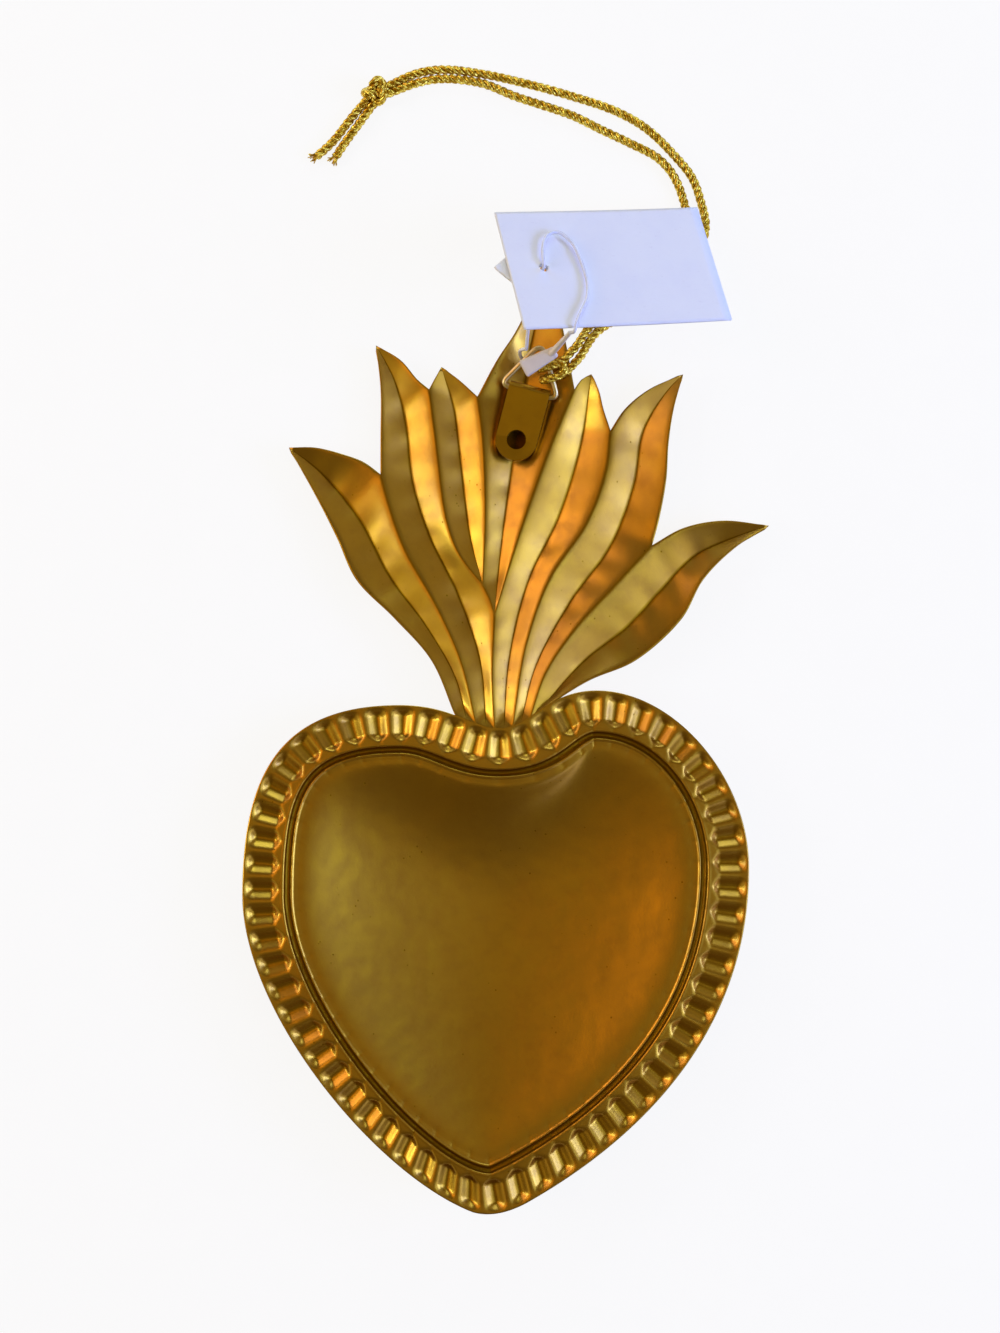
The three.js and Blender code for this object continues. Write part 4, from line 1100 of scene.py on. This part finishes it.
def build_loop():
    neck_tip, eye_top = moved(ring_frame, [NECK_END, EYE_ROUTE[-1]])
    turn_below = CARD_HOLE_FROM_TOP - CARD_HEIGHT - 2 * FILAMENT_RADIUS - FIT_GAP
    over_card = [
        (2.9, turn_below, 0.5), (3.4, -14, 1.3), (4.8, -11.6, 1.3), (7, -8.1, 1.2), (8, -4, 1.2),
        (7.8, 0.5, 1.3), (6.8, 5.3, 1.4), (4.5, 7.7, 1.4), (2, 6.9, 1.4), (0.4, 3.5, 1.4), (0, 0.6, 1.1),
        (0, 0, 0.2), (0, -0.2, -1.6),
    ]
    back_down = [(6.2, 89.3, 16.4), (4.9, 85.5, 14.6), (4.3, 81.5, 12.6)]
    route = np.vstack([neck_tip, moved(card_frame, over_card), back_down, eye_top])
    line = smooth_line(route, 0.3)
    shape = Shape()
    shape.tube(line, FILAMENT_RADIUS, 12)
    loop = shape.build("filament_loop", Matrix(), nylon_thread, "nylon")
    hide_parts("tag_filament")
    metres([neck_tip + (0, LOOP_GIVE, 0)])[0]
    metres([neck_tip])[0]
    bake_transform(loop)
    metres(line[:1])[0]
    metres(resampled(line, 40))


build_lock()
build_loop()


# Card and the small leaf behind it
def punched_sheet(reach, lift):
    """A sheet round the hole: rays run out to its edge, as far as reach says at each angle."""
    corners = [math.atan2(y, x) for x in (-CARD_HOLE_FROM_LEFT, CARD_WIDTH - CARD_HOLE_FROM_LEFT)
               for y in (CARD_HOLE_FROM_TOP, CARD_HOLE_FROM_TOP - CARD_HEIGHT)]
    angles = np.array(sorted([*np.linspace(-math.pi, math.pi, 144, endpoint=False), *corners]))
    outer_reach = np.array([reach(angle) for angle in angles])
    shape = Shape()
    outer = None
    for share in np.linspace(1, 0, 26) ** 1.4:
        distance = CARD_HOLE / 2 + share * (outer_reach - CARD_HOLE / 2)
        plan = np.column_stack([distance * np.cos(angles), distance * np.sin(angles)])
        inner = shape.row(np.column_stack([plan, lift(plan, angles)]))
        if outer is not None:
            shape.ring_strip(outer, inner)
        outer = inner
    return shape


def card_reach(angle):
    across = math.cos(angle)
    along = math.sin(angle)
    right = CARD_WIDTH - CARD_HOLE_FROM_LEFT if across > 0 else CARD_HOLE_FROM_LEFT
    top = CARD_HOLE_FROM_TOP if along > 0 else CARD_HEIGHT - CARD_HOLE_FROM_TOP
    return min(right / max(abs(across), 1e-9), top / max(abs(along), 1e-9))


def leaf_reach(angle):
    turned = angle + LEAF_TURN
    return LEAF_SIDE / math.sqrt(2) / (abs(math.cos(turned)) + abs(math.sin(turned)))


def card_lift(plan, angles):
    from_hole = np.linalg.norm(plan, axis=1) - CARD_HOLE / 2
    pucker = CARD_PUCKER * np.exp(-from_hole / 3) * np.cos(3 * angles + 0.6)
    curl = CARD_CURL * np.clip((plan[:, 0] - CARD_CURL_FROM) / CARD_CURL_LENGTH, 0, 1) ** 2
    return CARD_THICKNESS + pucker + curl


def leaf_lift(plan, angles):
    from_hole = np.linalg.norm(plan, axis=1) - CARD_HOLE / 2
    return -FIT_GAP - 0.02 * from_hole * (1 + np.cos(2 * angles))


for name, node, reach, lift in (("card", "tag_card", card_reach, card_lift),
                                ("card_leaf", "tag_leaf", leaf_reach, leaf_lift)):
    paper = punched_sheet(reach, lift).build(name, card_frame, blank_card, "card", 50)
    thicken(paper, CARD_THICKNESS)
    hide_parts(node)
    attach(paper, "tag")


# Table, soft boxes and dim room
def build_table():
    material, nodes, shader, place = new_material("pale_table")
    grain = nodes.between(nodes.noise(place, 120, 3), 0.3, 0.7)
    nodes.put(shader["Base Color"], mix_colours(nodes, grain, colour(250, 250, 250), colour(246, 246, 246)))
    shader["Roughness"].default_value = 0.8
    rays = nodes.add("ShaderNodeLightPath").outputs
    seen = nodes.sum("MAXIMUM", rays["Is Camera Ray"], rays["Is Glossy Ray"])
    seen = nodes.sum("MAXIMUM", seen, rays["Is Transmission Ray"])
    glow = nodes.add("ShaderNodeEmission")
    share = nodes.add("ShaderNodeMixShader")
    nodes.put(share.inputs["Fac"], nodes.sum("MULTIPLY", seen, 0.88))
    surface = material.node_tree.nodes["Principled BSDF"].outputs["BSDF"]
    nodes.put(share.inputs[1], surface)
    nodes.put(share.inputs[2], glow.outputs["Emission"])
    nodes.put(material.node_tree.nodes["Material Output"].inputs["Surface"], share.outputs["Shader"])
    mesh = bpy.data.meshes.new("table")
    around = [(TABLE_REACH * math.cos(angle), TABLE_REACH * math.sin(angle))
              for angle in np.linspace(0, 2 * math.pi, 96, endpoint=False)]
    count = len(around)
    corners = metres((x, y, height) for height in (0, BACKDROP_HEIGHT) for x, y in around)
    wall = [(k, count + k, count + (k + 1) % count, (k + 1) % count) for k in range(count)]
    mesh.from_pydata(corners, [], [tuple(range(count)), *wall])
    mesh.materials.append(material)
    table = bpy.data.objects.new("table", mesh)
    bpy.context.collection.objects.link(table)


def soft_box(name, place, width, height, brightness, tint):
    """A rectangular lamp that faces the ornament, with its brightness as seen in a mirror."""
    lamp = bpy.data.lights.new(name, "AREA")
    lamp.shape = "RECTANGLE"
    lamp.size = width * MM
    lamp.size_y = height * MM
    lamp.energy = brightness * math.pi * width * height * MM * MM
    lamp.color = tint
    box = bpy.data.objects.new(name, lamp)
    box.location = Vector(place) * MM
    aim = Vector((0, 0, 0)) - box.location
    box.rotation_euler = aim.to_track_quat("-Z", "Y").to_euler()
    bpy.context.collection.objects.link(box)
    return box


build_table()
soft_box("cool_box_right", (648, -28, 296), 375, 222, 13.0, (0.25, 0.36, 1.0))
soft_box("wide_box_right", (650, -335, 534), 1000, 420, 0.95, (0.82, 0.93, 1.6))
soft_box("dim_box_right", (600, 440, 520), 700, 400, 0.25, (1.0, 0.85, 0.4))
soft_box("orange_box_left", (-568, 291, 307), 455, 222, 3.2, (1.0, 0.6, 0.5))
soft_box("yellow_box_left", (-633, 22, 318), 140, 222, 8.0, (0.85, 1.0, 0.95))
soft_box("dim_box_left", (-620, -360, 480), 500, 380, 0.55, (1.0, 0.92, 0.4))
soft_box("box_beyond", (60, 640, 250), 420, 220, 3.8, (0.62, 0.82, 1.0))
soft_box("high_box_orange", (-420, 90, 655), 420, 260, 1.7, (1.0, 0.5, 0.1))
soft_box("high_box_pale", (424, -80, 683), 300, 300, 2.2, (0.55, 0.75, 1.0))
soft_box("box_above", (0, 0, 900), 520, 520, 0.22, (1.0, 0.8, 0.2))
# The fill lights paper and nylon, and the brass does not mirror it
fill = soft_box("fill_above", (0, 200, 900), 600, 600, 0.7, (0.96, 0.98, 1.0))
fill.visible_glossy = False
room = bpy.data.worlds.new("room")
room.use_nodes = True
room.node_tree.nodes["Background"].inputs["Color"].default_value = (0.14, 0.1, 0.03, 1)
room.node_tree.nodes["Background"].inputs["Strength"].default_value = 1
bpy.context.scene.world = room
bpy.context.scene.view_settings.view_transform = "Standard"
